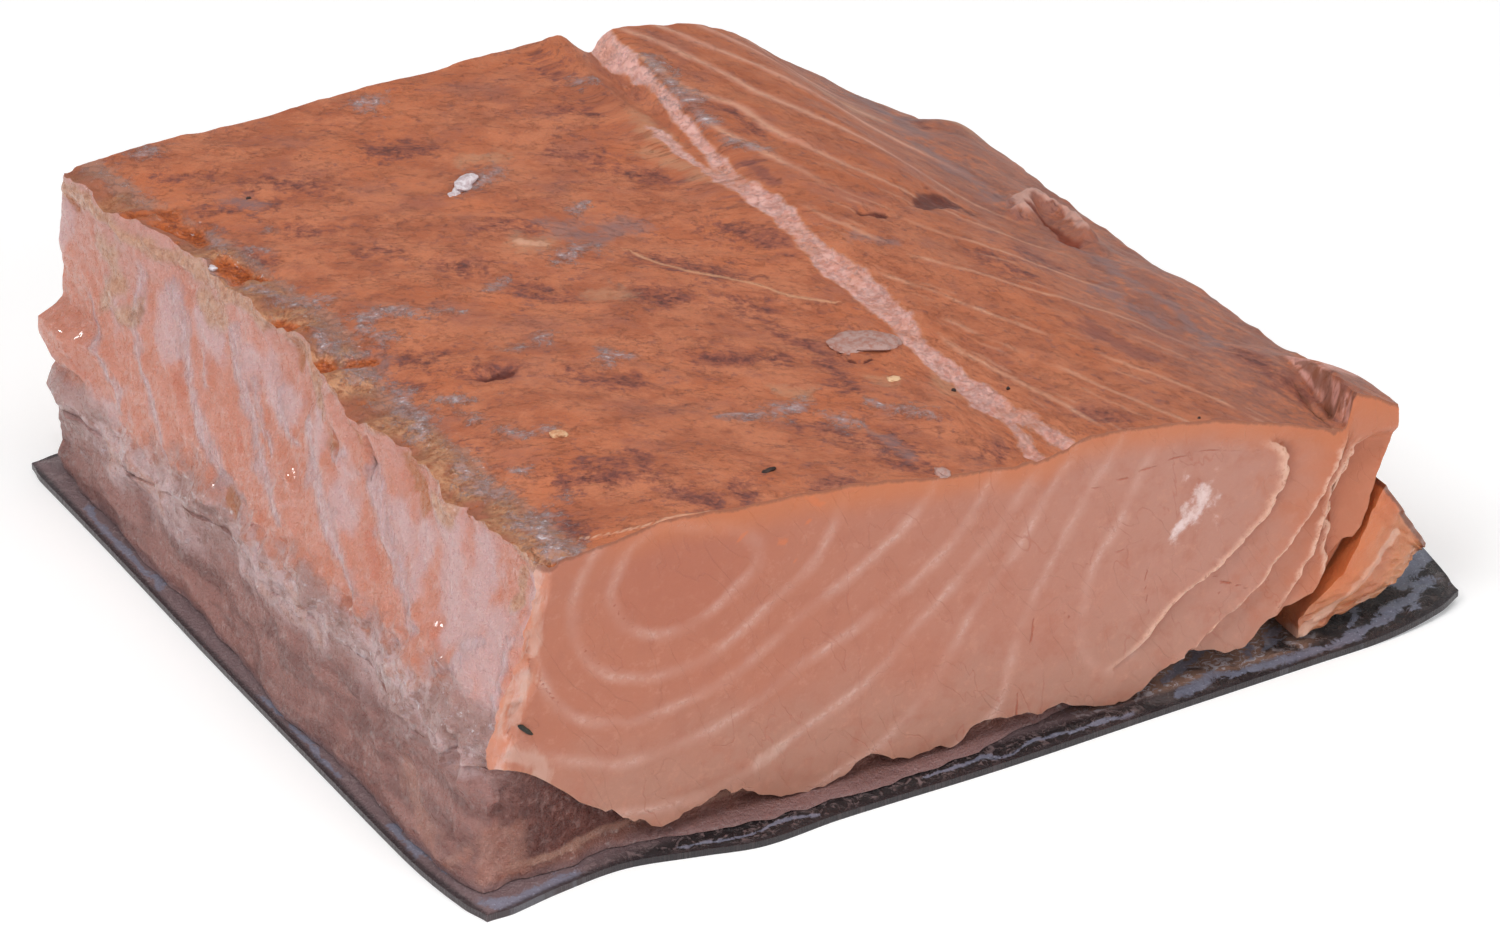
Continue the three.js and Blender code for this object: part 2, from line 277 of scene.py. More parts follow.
# %% Driving dimensions
SKIN_WIDTH, SKIN_LENGTH, SKIN_THICK = 145.0, 130.0, 1.2
CORNER_ROUND, RIM_DROP, GAP = 0.5, 0.3, 0.05
CUT_FRONT, CUT_BACK = 3.4, 126.0
DORSAL_X, BELLY_X, BACKBONE_X = 8.6, 129.0, 78.7
OVERHANG, DARK_END_X = 2.2, 98.0
DARK_THIN, DARK_SHEET, DARK_WEDGE = 0.9, 3.3, 12.2

TOP_FRONT = [
    (0, 41.2), (10, 42.7), (28, 44.9), (46, 43.3), (63, 40.8), (73, 39.6), (86, 40.5), (97, 39.0),
    (106, 37.1), (113, 34.4), (123, 30.6), (130, 27.3),
]
TOP_BACK = [
    (0, 42.2), (10, 43.3), (28, 44), (60, 44.4), (75, 44.9), (88, 44.2), (98, 42.4), (103, 40.2),
    (110, 34.8), (120, 28.2), (130, 22.4),
]
LEAN = [(1.5, 0), (9, 0.1), (19, 0.2), (26, 0.4), (31, 0.62), (37, 0.86), (43, 1)]
DORSAL_LOW = [(3, 1.5), (12, -1.1), (36, -0.5), (55, -1.5), (76, -0.2), (98, -0.8), (125, 1.6)]
DORSAL_TOP = [
    (3, 1.2), (14, 0.9), (28, 0.2), (50, -0.7), (66, 1.2), (81, 0.5), (96, -0.8), (109, -3.4),
    (125, -5.6),
]
BELLY = [(6, 117), (9.5, 120.6), (13, 124.2), (18, 126.2), (23, 128.2), (28, 130), (35, 129.4)]
CURL = [(88, 0), (94, 2.6), (101, 1.9), (107, 1.9), (112, 4.9), (117, 5.3), (122, 7.2), (130, 8.4)]
BACK_LINE = [(0, -1), (8, 0), (40, 0.5), (75, 0.8), (92, 0.2), (110, -0.6), (130, -3)]
SLAB_X, SLAB_SLANT, SLAB_RISE, SLAB_FROM, SLAB_TO, SLAB_EDGE = 122.4, 0.13, 5.4, 8.0, 26.0, 1.3
LOWER_EDGE = [
    (10, 12.6), (13, 10.6), (16.8, 8), (20.7, 5.6), (25, 3.2), (28.5, 4.1), (33.4, 5.4), (39.8, 3.2),
    (46.4, 1.7), (50, 2.8), (53.4, 4.2), (58.2, 2.9), (66.4, 2.5), (69, 4), (80.7, 3.6), (86, 2.2),
    (92, 2.4), (98, 5.1), (102, 4.7), (107, 4), (111, 6.4), (116.4, 8.3), (119.6, 9.8), (122, 13),
    (130, 18),
]
CREST = [
    (4, 0), (8, 0.1), (13, 0.5), (17, 1), (25, 0.5), (30, -0.3), (36, 0), (44, 0.6), (48.5, 0.9),
    (54, 0.4), (58.5, -0.3), (65, -0.5), (71, 0), (88, 0.6), (93.5, 1.2), (99, 1.4), (104, 0.4),
    (109, 0.8), (119, 0.8), (124, -0.6),
]
DARK_FOOT = [
    (0, 3.8), (12, 3.8), (20, 4.6), (28, 3.2), (38, 1.6), (50, 1.1), (66, 1.8), (76, 4.2), (86, 6.4),
    (98, 7.6),
]
print("the block is", BELLY_X - DORSAL_X, "mm across at its top")

# %% [markdown]
# ## What lies on the smoked top
#
# The dried surface is not one brown. White protein has bloomed on it in tufts, dark patches run with the
# muscle, thin pale lines show where the muscle rings reach the surface, and the left edge is a crust of
# yellow fat with glossy pits. Each kind of mark is a list of brush strokes: a half width and a route in
# x and y. The strokes colour the surface, and most of them raise or sink it too, so both agree.

# %% Marks on the top
TOP_MARKS = {
    "bloom": [
        (1.1, [(46.0, 93.0), (51.4, 96.0)]), (0.9, [(18.4, 44.6), (20.6, 41.4)]),
        (1.2, [(12.6, 43), (12.2, 38)]), (1.1, [(12.6, 30), (13.2, 25)]),
        (1.4, [(12.2, 15), (12.8, 4.4)]), (1.0, [(11.4, 70), (11.8, 64)]),
        (1.0, [(10.6, 84), (11.4, 78)]), (1.1, [(12, 100), (11.6, 95)]),
        (1.1, [(10.0, 87.2), (8.1, 91.8)]),
        (1.2, [(18.5, 61.8), (17.2, 65.5), (19.1, 68.2), (24.5, 65.8)]),
        (1.3, [(11.5, 56.0), (13.2, 60.5)]), (1.5, [(12.4, 39.5), (13.6, 49.0)]),
        (1.1, [(14, 21.2), (11.7, 24.4)]), (1.8, [(12.7, 5.0), (13.4, 9.0), (15.2, 14)]),
        (0.8, [(17.6, 45.3), (19.6, 42.7)]), (0.9, [(19.8, 33.8), (20.6, 31.4), (24.7, 30.6)]),
        (0.9, [(38.7, 42.0), (40.2, 45.6)]), (0.8, [(40.2, 44.6), (43.0, 43.4)]),
        (0.9, [(29.8, 50.8), (32.0, 51.6)]), (1.0, [(34.4, 52.4), (36.2, 53.0)]),
        (0.45, [(30.0, 62.6), (26.5, 63.8), (22.0, 65.4)]), (0.7, [(36.4, 67.2), (39.2, 68.8)]),
        (1.4, [(48.0, 70.9), (51.6, 71.9)]), (1.3, [(51.2, 24.2), (55.8, 25.2)]),
        (1.1, [(57.9, 21.4), (60.6, 19.6)]), (0.8, [(65.1, 23.3), (69.8, 17.7)]),
        (1.2, [(72.0, 113.3), (75.2, 113.0)]), (1.2, [(84.4, 116.0), (83.7, 104.0), (82.8, 96.7)]),
        (0.9, [(82.4, 92.0), (84.4, 90.0), (85.0, 87.2)]), (1.2, [(45.4, 122.4), (47.8, 121.6)]),
        (1.0, [(13.2, 124.3), (15, 124)]), (0.8, [(18.4, 37.9), (19, 37.5)]),
        (0.8, [(14.6, 92.6), (16, 91.2)]), (0.7, [(18.2, 96.6), (19.4, 96.4)]),
        (1.2, [(12.6, 76.4), (15.4, 75.0)]), (0.8, [(46.0, 26.0), (49.9, 24.0)]),
        (0.8, [(55.0, 82.0), (58.0, 84.0)]), (0.7, [(16.8, 24.0), (17.6, 23.6)]),
    ],
    "dark": [
        (3.2, [(40.6, 66.0), (43.0, 61.6)]), (3.2, [(58.6, 67.0), (62.4, 62.0), (65.4, 58.2)]),
        (2.9, [(50.6, 58.0), (55.6, 55.6)]), (2.5, [(23.6, 47.8), (27.6, 45.8)]),
        (2.2, [(60.4, 97.6), (65.4, 92.0), (70.4, 85.4)]), (2.8, [(70.6, 119.6), (71.6, 114.6)]),
        (2.6, [(40, 109), (47, 106)]), (2.5, [(33.2, 75.2), (36.4, 73.6)]),
        (2.3, [(43.6, 82.6), (47.6, 79.6)]), (2.8, [(51.6, 39.6), (60.6, 36.6)]),
        (4.1, [(56.6, 18.6), (61.0, 12.6), (62.0, 7)]), (2.8, [(20.6, 18.6), (29.6, 14)]),
        (2.8, [(12.6, 93.6), (14, 89)]), (2.5, [(22.0, 95.0), (24.6, 93.0)]),
        (2.9, [(71, 71), (74, 65)]), (2.5, [(34, 40), (39, 37)]), (2.3, [(67, 107), (70, 104)]),
        (2.0, [(26.6, 84.0), (29.0, 83.0)]), (2.0, [(14.2, 106.6), (21.4, 102.6)]),
        (1.7, [(13.5, 117), (19, 114)]), (3.2, [(61.5, 51.6), (64.0, 49.6)]),
        (1.9, [(63.5, 45.0), (66.4, 39.6), (66.0, 33.6), (64.4, 27.0)]),
        (1.9, [(30.9, 21.4), (30.0, 16.4)]), (2.0, [(39.0, 8.4), (37.4, 4.4)]),
        (2.2, [(47.0, 4.9), (50.2, 4.6)]), (2.9, [(12.6, 51.5), (15.4, 50)]),
        (1.7, [(11.0, 61.8), (9.7, 62.2)]), (2.5, [(11.5, 100.4), (9.6, 96.2)]),
        (2.9, [(14.5, 13.5), (16, 8)]), (2.5, [(9.8, 29.4), (13.4, 31)]), (2.9, [(24, 108), (29, 105)]),
        (2.5, [(97.4, 51.6), (100.6, 46.0)]), (2.2, [(105.8, 55.4), (107.4, 50.0)]),
        (2.3, [(118.9, 25.6), (119.3, 18.6), (120.6, 13.0)]), (2.5, [(119.2, 111.6), (120.4, 104.6)]),
        (2.8, [(17.6, 57.0), (19.8, 54)]), (1.7, [(24.6, 21), (27.8, 18.6)]),
        (2.6, [(30, 9), (33, 6.4)]), (2.6, [(88, 9.0), (90, 7.4)]), (2.2, [(74.2, 8.2), (72.8, 6.6)]),
        (1.6, [(87, 99), (88.4, 92)]),
    ],
    "grey": [
        (3.2, [(52.0, 78.6), (54.2, 74.4), (60.0, 77)]),
        (2.2, [(112.6, 91.6), (114.6, 84.2), (115.4, 74.4)]),
        (1.5, [(115.4, 60.6), (117.0, 55.0), (118.3, 46.1), (118.6, 38.1), (117.9, 30.7),
               (118.1, 26.1)]),
        (2.2, [(119, 118), (119.4, 110), (115.8, 98)]),
        (1.1, [(61.6, 19.6), (61.9, 14.0), (62.1, 8.0)]),
        (1.2, [(56.0, 24.1), (48.0, 24.0), (45.0, 25.8)]), (1.6, [(17.6, 106.8), (20.2, 103.4)]),
        (2.6, [(13.6, 60.6), (15.6, 57)]), (1.8, [(12.2, 46), (11.6, 41.6)]),
        (2.0, [(112, 44.5), (114.6, 33.6)]), (1.4, [(84.4, 60.4), (88, 56.8)]),
    ],
    "pale": [
        (0.28, [(16.2, 6.6), (20.7, 4.6), (26.9, 3.9), (34, 3.5)]), (0.7, [(45.0, 77.8), (47.4, 75.2)]),
        (0.9, [(82.4, 120), (84.6, 112)]),
    ],
    "tan": [
        (2.4, [(45.2, 77.4), (47.2, 75.6)]), (2.6, [(46.6, 60), (49, 58.6)]),
        (1.8, [(56.4, 29.5), (58, 28)]), (1.6, [(68.7, 28.8), (71.2, 27.8)]),
        (2.4, [(75.5, 100.8), (75.4, 93.6)]), (2.2, [(76.5, 26.2), (75.9, 23.0)]),
        (2.2, [(72, 92), (76, 84)]), (2.0, [(50, 101), (54, 99)]), (2.6, [(107.4, 112.0), (111, 104)]),
        (1.8, [(126.4, 110), (128, 103)]),
    ],
    "maroon": [
        (2.3, [(99.6, 69.0), (102.4, 70.0), (104.8, 70.8)]), (1.2, [(88.8, 66.6), (91.0, 65.6)]),
        (0.8, [(24.0, 46.6), (27.6, 46.1)]), (0.5, [(67.6, 35.0), (69.4, 33.0), (71.6, 33.4)]),
    ],
    "oval": [(2.8, [(101.4, 30.4), (102.6, 26.0), (104.2, 22.6)]), (1.5, [(81.9, 84.4), (82.2, 78.2)])],
    "crack": [
        (0.5, [(124.9, 19.2), (123.8, 12.8), (122.6, 7.1), (122.2, 3.4)]),
        (0.4, [(121.8, 14.8), (120.8, 9.0), (119.9, 4.4)]),
    ],
    "amber": [
        (2.0, [(6.5, 109.8), (7.2, 108.6)]), (2.2, [(9.4, 108.4), (10.4, 105.8)]),
        (1.2, [(8.0, 104.0), (8.6, 102.7)]), (1.9, [(10.8, 101.4), (10.2, 98.0)]),
        (2.0, [(10.4, 91.6), (11.4, 87.8)]), (1.2, [(12.8, 86.6), (13.4, 85.6)]),
        (1.6, [(9.2, 73.6), (10.9, 70.0)]), (1.4, [(13.0, 59.4), (14.5, 58.3)]),
        (1.3, [(9.7, 62.4), (10.4, 60.8)]), (0.9, [(9.8, 4.6), (11.6, 3.9)]),
    ],
    "flap": [(1.2, [(115.6, 71.0), (118.4, 75.6), (122.2, 77.4), (123.2, 72.6), (121.2, 64.2)])],
    "cavity": [(1.3, [(117.6, 71.0), (118.2, 66.0), (117.8, 61.6)])],
}
BACKBONE_LEFT = [
    (3, 79.9), (11.7, 78.8), (18.9, 77), (26, 76.6), (33, 76.6), (40.3, 77.3), (44.6, 77), (51.7, 77),
    (58.9, 76.2), (64.6, 77.3), (68.9, 77), (76, 76.6), (83, 77), (90, 77.9), (97.4, 78.7),
    (104.6, 80.1), (111.7, 80.6), (119, 79.9), (126, 80.1),
]
BACKBONE_RIGHT = [
    (3, 82.7), (11.7, 82), (18.9, 81.3), (26, 80.4), (33, 80.1), (40.3, 81.3), (44.6, 81.3), (51.7, 82),
    (58.9, 81.3), (64.6, 81), (68.9, 81.6), (76, 81.3), (83, 80.4), (90, 81.2), (97.4, 81.6),
    (104.6, 82.7), (111.7, 83.4), (119, 84.1), (126, 84.9),
]
CRACK = [
    (56.9, 68.5), (58.5, 64.3), (60.8, 61.1), (63.9, 58.9), (67.5, 55.4), (69.4, 52.0), (73.8, 48.4),
]
SIDE_STRAND = [
    (0.95, [(77.9, 18.4), (78.2, 13.6), (77.9, 7.6), (77.4, 3.4)]),
    (0.9, [(75.4, 98), (76.4, 86.5), (77.4, 80)]),
]
print("kinds of mark on the top:", {kind: len(strokes) for kind, strokes in TOP_MARKS.items()})

# %% [markdown]
# ## Muscle rings on the cut
#
# Fish muscle is packed in nested cones, so a cut across it shows rings and long curved seams. We number
# the seams and lay the smoothest surface (a thin plate) through their numbers: the surface then says for
# every place how many seams from the core it is. Wherever it passes a whole number, the shader draws a
# seam, which stays sharp although the mesh is coarser than the line.

# %% Seams of the near cut: a number, then points in x and z
SEAMS = [
    (0.45, [(27, 37.5)]),
    (1, [(36.7, 40.2), (29.8, 43.1), (21, 42.1), (18.6, 36.9), (21.6, 31.3), (28, 29.8), (34.9, 33.4),
         (38, 36)]),
    (2, [(16.6, 43.4), (13.5, 36.7), (15.4, 28.9), (21.8, 24.9), (31.5, 25.2), (38.9, 29.4),
         (44.6, 32.9), (47.6, 36.6), (50, 41)]),
    (3, [(8.9, 29), (13.3, 21.8), (21.1, 19), (29.7, 20.2), (35.5, 22.1), (44.2, 27.2), (50.6, 30.3),
         (57, 34.1), (62, 39)]),
    (4, [(13.5, 15.6), (24.5, 13.6), (34.9, 15.7), (41.2, 18.7), (50.7, 22.6), (59.2, 26.7), (66, 32),
         (70, 37.5)]),
    (5, [(24, 5.8), (32.4, 6.2), (38.1, 7.9), (45.7, 11.6), (54.5, 15.9), (59.9, 20.6), (65, 24.9),
         (72, 31.5), (77, 38)]),
    (6, [(47, 2.5), (54.7, 5.3), (61.4, 10.8), (65.1, 16), (69.1, 21.7), (73.8, 27.1), (78.2, 34),
         (82, 39)]),
    (7, [(66, 2), (71.9, 5.5), (74.1, 13.1), (77, 20), (80, 25.6), (83.6, 31.5), (88, 37.5)]),
    (8, [(94.6, 37), (91.3, 32.5), (88.6, 27), (86, 23.5), (84, 16.6), (84.1, 10.4), (88.6, 6.8),
         (92.2, 8.4), (96.1, 12.4), (103.0, 16.6), (107.6, 20), (111.4, 24), (113.5, 27.8),
         (111.2, 32.4)]),
    (8.9, [(91.4, 14), (97, 21), (103, 27)]),
    (7, [(96, 1.7), (99.2, 5.1), (105.9, 9.7), (111.7, 14.1), (116, 19), (119.5, 23.6), (121.7, 28.3)]),
    (6, [(113.8, 8.6), (117.1, 12.6), (119.4, 16.8), (121.2, 22.6), (124.0, 27.9)]),
    (5, [(120.9, 11.0), (121.3, 18), (123.4, 24.4), (126.0, 28.5)]),
]


def through(places, values):
    """The smoothest surface through values at scattered places: hills r * r * log(r) and a plane."""
    def hill(a, b):
        squared = (a[..., None] - places[:, 0]) ** 2 + (b[..., None] - places[:, 1]) ** 2
        return 0.5 * squared * np.log(squared + 1e-6)

    plane = np.column_stack([np.ones(len(places)), places])
    known = np.block([[hill(*places.T), plane], [plane.T, np.zeros((3, 3))]])
    weights = np.linalg.solve(known, np.concatenate([values, np.zeros(3)]))

    def surface(a, b):
        a, b = np.broadcast_arrays(np.asarray(a, float), np.asarray(b, float))
        return hill(a, b) @ weights[:-3] + weights[-3] + weights[-2] * a + weights[-1] * b
    return surface


def numbered(seams):
    """The surface through a list of seams, each a number and its points."""
    places = np.array([point for _, route in seams for point in route], float)
    return through(places, np.array([number for number, route in seams for _ in route], float))


seam_count = numbered(SEAMS)
print("seams from the core at the middle of the cut:", seam_count(70.0, 20.0).round(2))

# %% [markdown]
# Right of the backbone the same seams reach the smoked top as a family of slanting parallel lines, so
# they get numbers and a surface of their own, this time over x and y.

# %% Seams on the top
TOP_SEAMS = [
    (1, [(91.3, 126), (94.1, 118.9), (98.4, 111.7), (102.0, 104.6), (106, 99)]),
    (2, [(88.6, 120), (92.0, 110.3), (94.1, 103.1), (97.0, 97.4), (100.6, 90.3), (104, 84)]),
    (3, [(85.6, 104.6), (89.1, 99.8), (89.9, 91.7), (92.7, 83.1), (98.4, 71.7), (103, 64)]),
    (4, [(84.9, 87.4), (87.0, 78.9), (88.4, 70.3), (92.7, 64.6), (98, 57)]),
    (5, [(81.3, 73), (84.9, 63.1), (88.4, 53.1), (94.1, 46.0), (102.7, 38.9), (110, 34)]),
    (6, [(83, 50.5), (85.2, 45.7), (88.0, 39.2), (92.6, 31.8), (99, 22), (105, 12)]),
    (7, [(82.2, 40.5), (84.2, 35.4), (87.6, 26.9), (90.7, 20.6), (93.6, 14.2), (97.8, 5)]),
    (8, [(80.7, 36.9), (81.6, 31.0), (83.3, 23.1), (84.8, 16.4), (86.4, 9.3), (86.9, 3.0)]),
]
top_seam_count = numbered(TOP_SEAMS)
print("seams on the top at x 90, y 60:", top_seam_count(90.0, 60.0).round(2))

# %% [markdown]
# ## Loose flakes at the belly end of the cut
#
# Towards the belly the muscle has started to fall apart: each flake ends in a torn, pale edge and the
# next one lies a little deeper. An edge is a curve that gives x for each z, with small random teeth.

# %% Flake edges of the near cut, as pairs of z and x
FLAKE_EDGES = [
    [(6.8, 88.4), (8.4, 92.1), (12.4, 96.2), (15.0, 99.6), (16.6, 103.4), (20, 107.8), (24, 111.9),
     (28, 113.7), (31, 113.0), (33, 110.5)],
    [(1.0, 94.4), (5.0, 99.1), (8.3, 103.8), (12.3, 109.6), (16.0, 113.4), (20.1, 117.0), (24, 119.8),
     (29.5, 122.3)],
    [(7.8, 113.0), (10, 115.4), (13.8, 117.8), (17.4, 119.5), (22, 121.0), (25.5, 122.4), (29, 124.4)],
    [(9, 120.6), (12.1, 120.8), (15.3, 120.9), (18.1, 121.3), (21, 121.9), (24.2, 123.3), (29, 126.2)],
]
FLAKE_STEP = (0.8, 1.3, 1.1, 1.2)
TEETH = 0.3


def beyond_flake(k, x, z):
    """How far x lies behind the torn edge k at height z: x less the curve through the edge's pairs, with
    teeth from two sizes of hills."""
    teeth = hills(z, 0.0, 1.3, k) + 0.6 * hills(z, 0.0, 0.6, k + 1)
    return x - along(FLAKE_EDGES[k], z) - TEETH * teeth


def flake_fade(k, z):
    """1 between the ends of a torn edge and 0 past them."""
    low, high = FLAKE_EDGES[k][0][0], FLAKE_EDGES[k][-1][0]
    return smooth(low - 2, low + 4, z) * (1 - smooth(high - 2, high + 1, z))


def cut_steps(x, z):
    """How much deeper than the plain cut each place lies: a sharp step behind every torn edge, which
    levels out again over the next ten millimetres."""
    depth = np.zeros(np.shape(x))
    for k, step in enumerate(FLAKE_STEP):
        beyond = beyond_flake(k, x, z)
        step = step * flake_fade(k, z)
        depth = depth + step * smooth(-0.2, 0.4, beyond) * mix(1, 0.35, smooth(0, 9, beyond))
        depth = depth - 0.25 * step * hump(-0.9, 1.6, beyond)
    return depth


print("the cut steps back by", cut_steps(np.array([80.0, 105.0, 126.0]), 20.0).round(2), "mm")

# %% [markdown]
# ## The back side of the block
#
# The left side was not cut but torn from the fins: wet pink muscle with steep white sheets of tissue, a
# rough grey band of fat below, and a yellow crust hanging over at the top. Its marks are strokes in y, z.

# %% Marks on the back side
SIDE_MARKS = {
    "sheet": [
        (1.3, [(105.4, 38.2), (104.7, 33.5), (103.7, 30.4), (101.3, 26.9), (98.2, 24.3), (95.0, 22.2),
               (90.7, 19.4)]),
        (1.5, [(98.8, 37.6), (95.4, 34.6), (92.3, 32.0), (88.9, 29.1), (82.4, 24.9), (76.4, 22.2),
               (68.8, 20.0)]),
        (0.6, [(88.7, 34.6), (85.1, 30.3)]),
        (1.5, [(83.0, 38.6), (79.1, 33.4), (74.0, 30.2), (66.7, 27.1), (58.4, 24.4)]),
        (0.8, [(69.9, 36.3), (67.5, 33.0), (64.7, 31.9), (61.2, 33.2)]),
        (1.5, [(60.8, 36.0), (56.0, 33.2), (50.2, 30.6), (45.6, 28.3), (38.2, 23.9)]),
        (1.8, [(43.0, 37.6), (37.2, 34.0), (32.8, 31.7), (28.9, 29.7), (23.6, 26.9)]),
        (0.8, [(76, 34), (71.4, 30.6), (66.4, 29.6)]),
        (0.7, [(52.8, 36.4), (51.2, 35.6), (49.4, 37.4)]),
        (1.1, [(116.2, 30), (109.2, 22.5), (104, 19)]),
        (1.6, [(13.8, 26.6), (13.2, 30.0), (10.6, 31.2)]),
        (1.0, [(5.4, 33), (4.7, 28), (4.4, 23.6), (5.1, 18.6)]), (0.9, [(17.0, 24.0), (13.4, 27.0)]),
    ],
    "veil": [
        (4.4, [(22.6, 39.0), (20.4, 34.6), (15.6, 31.0)]), (3.6, [(16.2, 38.6), (13.6, 31), (11, 26)]),
        (3.4, [(8.6, 34), (6, 26), (6, 18)]), (3.0, [(4, 41), (4, 34)]),
        (3.0, [(125.2, 38.6), (124.6, 34.6)]), (2.4, [(117.6, 14.4), (105.0, 17.2)]),
        (2.2, [(92, 35.4), (86, 36)]), (2.2, [(71, 34.6), (66, 35.2)]), (2.2, [(34.6, 36), (31.4, 34)]),
        (2.0, [(99.6, 34.6), (96, 31)]), (1.8, [(58, 38), (55, 34.4)]), (2.2, [(77.6, 36.6), (73, 36)]),
        (2.0, [(111, 33), (108, 30)]), (2.4, [(28, 36), (26.6, 31)]), (2.4, [(48.6, 33), (44, 31.4)]),
    ],
    "crust": [
        (1.5, [(127, 41.9), (118, 41.4), (109, 40.6), (100, 41.2), (92, 42.0), (82, 42.4), (72, 42.8),
               (62, 42.8), (52, 43.6), (44, 43.8), (36, 44.0), (26, 43.8), (14, 43.8), (4, 43.0)]),
        (2.2, [(113.6, 37.0), (109.6, 35.0), (112.2, 30.6)]), (1.6, [(108, 30.4), (104.8, 31.8)]),
        (1.6, [(92, 38.6), (85.6, 39.0)]), (1.9, [(62.6, 40.2), (57.0, 39.4)]),
        (1.6, [(27.0, 41.0), (24, 40.6)]), (1.3, [(7.8, 40.6), (7.4, 37.0)]),
    ],
    "amber": [
        (1.5, [(37.0, 41.6), (33.2, 40.2), (29.6, 38.6)]), (0.7, [(57.5, 39.6), (56.4, 38.2)]),
        (0.8, [(53.4, 37.8), (52.4, 36.2)]), (0.8, [(50.6, 42.0), (46.6, 39.8)]),
        (0.6, [(21.6, 42.2), (20.2, 41.4)]), (0.9, [(70.4, 41.8), (67.0, 39.6)]),
        (0.7, [(123.4, 40.2), (121.6, 39.4)]), (1.3, [(74.0, 20.2), (71.0, 19.6)]),
    ],
    # Slits are sunk into the side and painted dark: painted shade inside them.
    "slit": [(0.45, [(44.2, 40.4), (42.9, 38.2), (42.4, 36.6)]), (0.4, [(52.2, 38.4), (51.4, 36.8)])],
    "fat": [
        (3.0, [(97.5, 13.8), (90.6, 14.6)]), (3.2, [(86.8, 15.4), (80.6, 16.6), (74.2, 17)]),
        (3.6, [(67.2, 18.0), (60.6, 19.6), (54, 18.6)]),
        (4.2, [(49.0, 19.6), (42.0, 19.6), (35.0, 20.9)]),
        (4.4, [(30.4, 20.4), (24, 21.4), (17.6, 20.4)]),
        (3.2, [(14.6, 22.6), (11.6, 19.4), (9.4, 15.4)]), (3.0, [(8.6, 17.6), (7.0, 12.6), (6.6, 8.4)]),
        (2.4, [(36, 12.4), (28, 10.6)]), (2.2, [(60, 11), (54, 9)]),
    ],
    "red": [
        (1.2, [(116.4, 21.6), (112.4, 18.6)]), (1.4, [(91.6, 29.0), (89.4, 26.4)]),
        (0.9, [(75.6, 27.6), (73.8, 26)]), (1.6, [(38.6, 31.0), (35.6, 28.0)]),
        (1.2, [(28.2, 34.4), (27.0, 31.4)]), (1.0, [(19.8, 28.4), (17.4, 27)]),
        (0.9, [(122.8, 37), (122.5, 36)]),
    ],
}
FIN_LINE = [
    (3, 23.6), (13.5, 24.0), (26, 24.0), (40, 22.6), (54, 21.8), (69, 20.0), (83, 18.4), (97, 17.0),
    (111, 15.8), (127, 16.0),
]
CORNER_LINE = [
    (10, 4.4), (18, 5.0), (21.3, 5.7), (23.7, 6.1), (25.9, 7.4), (29, 8.7), (31.6, 8.3), (34.9, 8.8),
    (38, 9.9), (42, 10.6), (44, 11),
]
CUT_MARKS = {
    "cream": [
        (1.0, [(9.7, 42.0), (9.5, 38.6), (9.0, 35.8), (8.0, 33.4), (6.6, 31.2)]),
        (0.8, [(7.7, 28.8), (6.6, 26.2), (5.2, 23)]), (1.2, [(5.6, 19.2), (8.6, 16.8), (9.6, 14.4)]),
        (0.8, [(5.0, 29.0), (4.2, 24.6), (3.4, 21.4)]), (0.9, [(42.4, 10.0), (38.5, 8.2)]),
    ],
    "orange": [
        (0.7, [(8.4, 37.4), (7.6, 35.6)]), (0.8, [(7.4, 38.6), (6.6, 35.2)]),
        (0.8, [(7.3, 31.7), (6.0, 30.2)]), (0.35, [(35.2, 39.4), (36.2, 40.6)]),
        (0.3, [(33.5, 35.4), (33.9, 34.7)]), (0.3, [(44.4, 39.4), (44.9, 39.9)]),
        (0.25, [(42.4, 34.2), (42.9, 34.6)]), (0.5, [(45.2, 43.0), (46.9, 41.4)]),
        (0.3, [(40.9, 37.7), (41.3, 37.5)]),
    ],
    "white": [(3.0, [(100.4, 27.0), (99.6, 25.8)]), (1.4, [(98.6, 24.8), (97.6, 23.8)])],
}
CUT_CRACKS = [
    [(18.7, 36.9), (19.1, 35.0), (20.3, 33.0), (21.6, 31.4)],
    [(14.4, 31.8), (15.5, 29.6), (16.8, 28.1)], [(9.1, 28.1), (10.3, 25.9), (11.5, 24.0)],
    [(87.3, 23.1), (89.7, 23.6), (92.1, 23.9), (94.0, 23.9)], [(88.5, 21.1), (89.6, 19.8)],
    [(102.5, 16.4), (104.4, 14.6), (108.9, 12.3)], [(81.2, 17.0), (82.2, 15.5)],
    [(90.6, 10.3), (91.5, 8.4)], [(74.8, 4.0), (74.6, 8.0)],
    [(84.6, 33.0), (89.8, 33.4), (96.6, 34.2), (102.4, 34.0), (109.0, 32.2)],
    [(104.4, 14.5), (103.9, 12.2)], [(76.2, 12), (76.9, 17)],
    [(93.4, 21.6), (92.8, 18.0), (93.6, 12.7)],
]
print("kinds of mark on the back side:", list(SIDE_MARKS), "and on the near cut:", list(CUT_MARKS))

# %% [markdown]
# ## The six surfaces
#
# Each side of the block is a height or a depth over the other two directions: the form that the solid
# has, plus the fine relief that only this finish carries.


# %% The top
def grain_frame(x, y):
    """Coordinates across and along the muscle fibres on the top: they slant by 34 degrees left of the
    backbone and by 62 degrees right of it, and turn over 20 mm."""
    slant = np.radians(mix(34.0, 62.0, smooth(70, 86, x)))
    across = (x - BACKBONE_X) * np.sin(slant) + (y - 60) * np.cos(slant)
    lengthwise = (x - BACKBONE_X) * np.cos(slant) - (y - 60) * np.sin(slant)
    return across, lengthwise


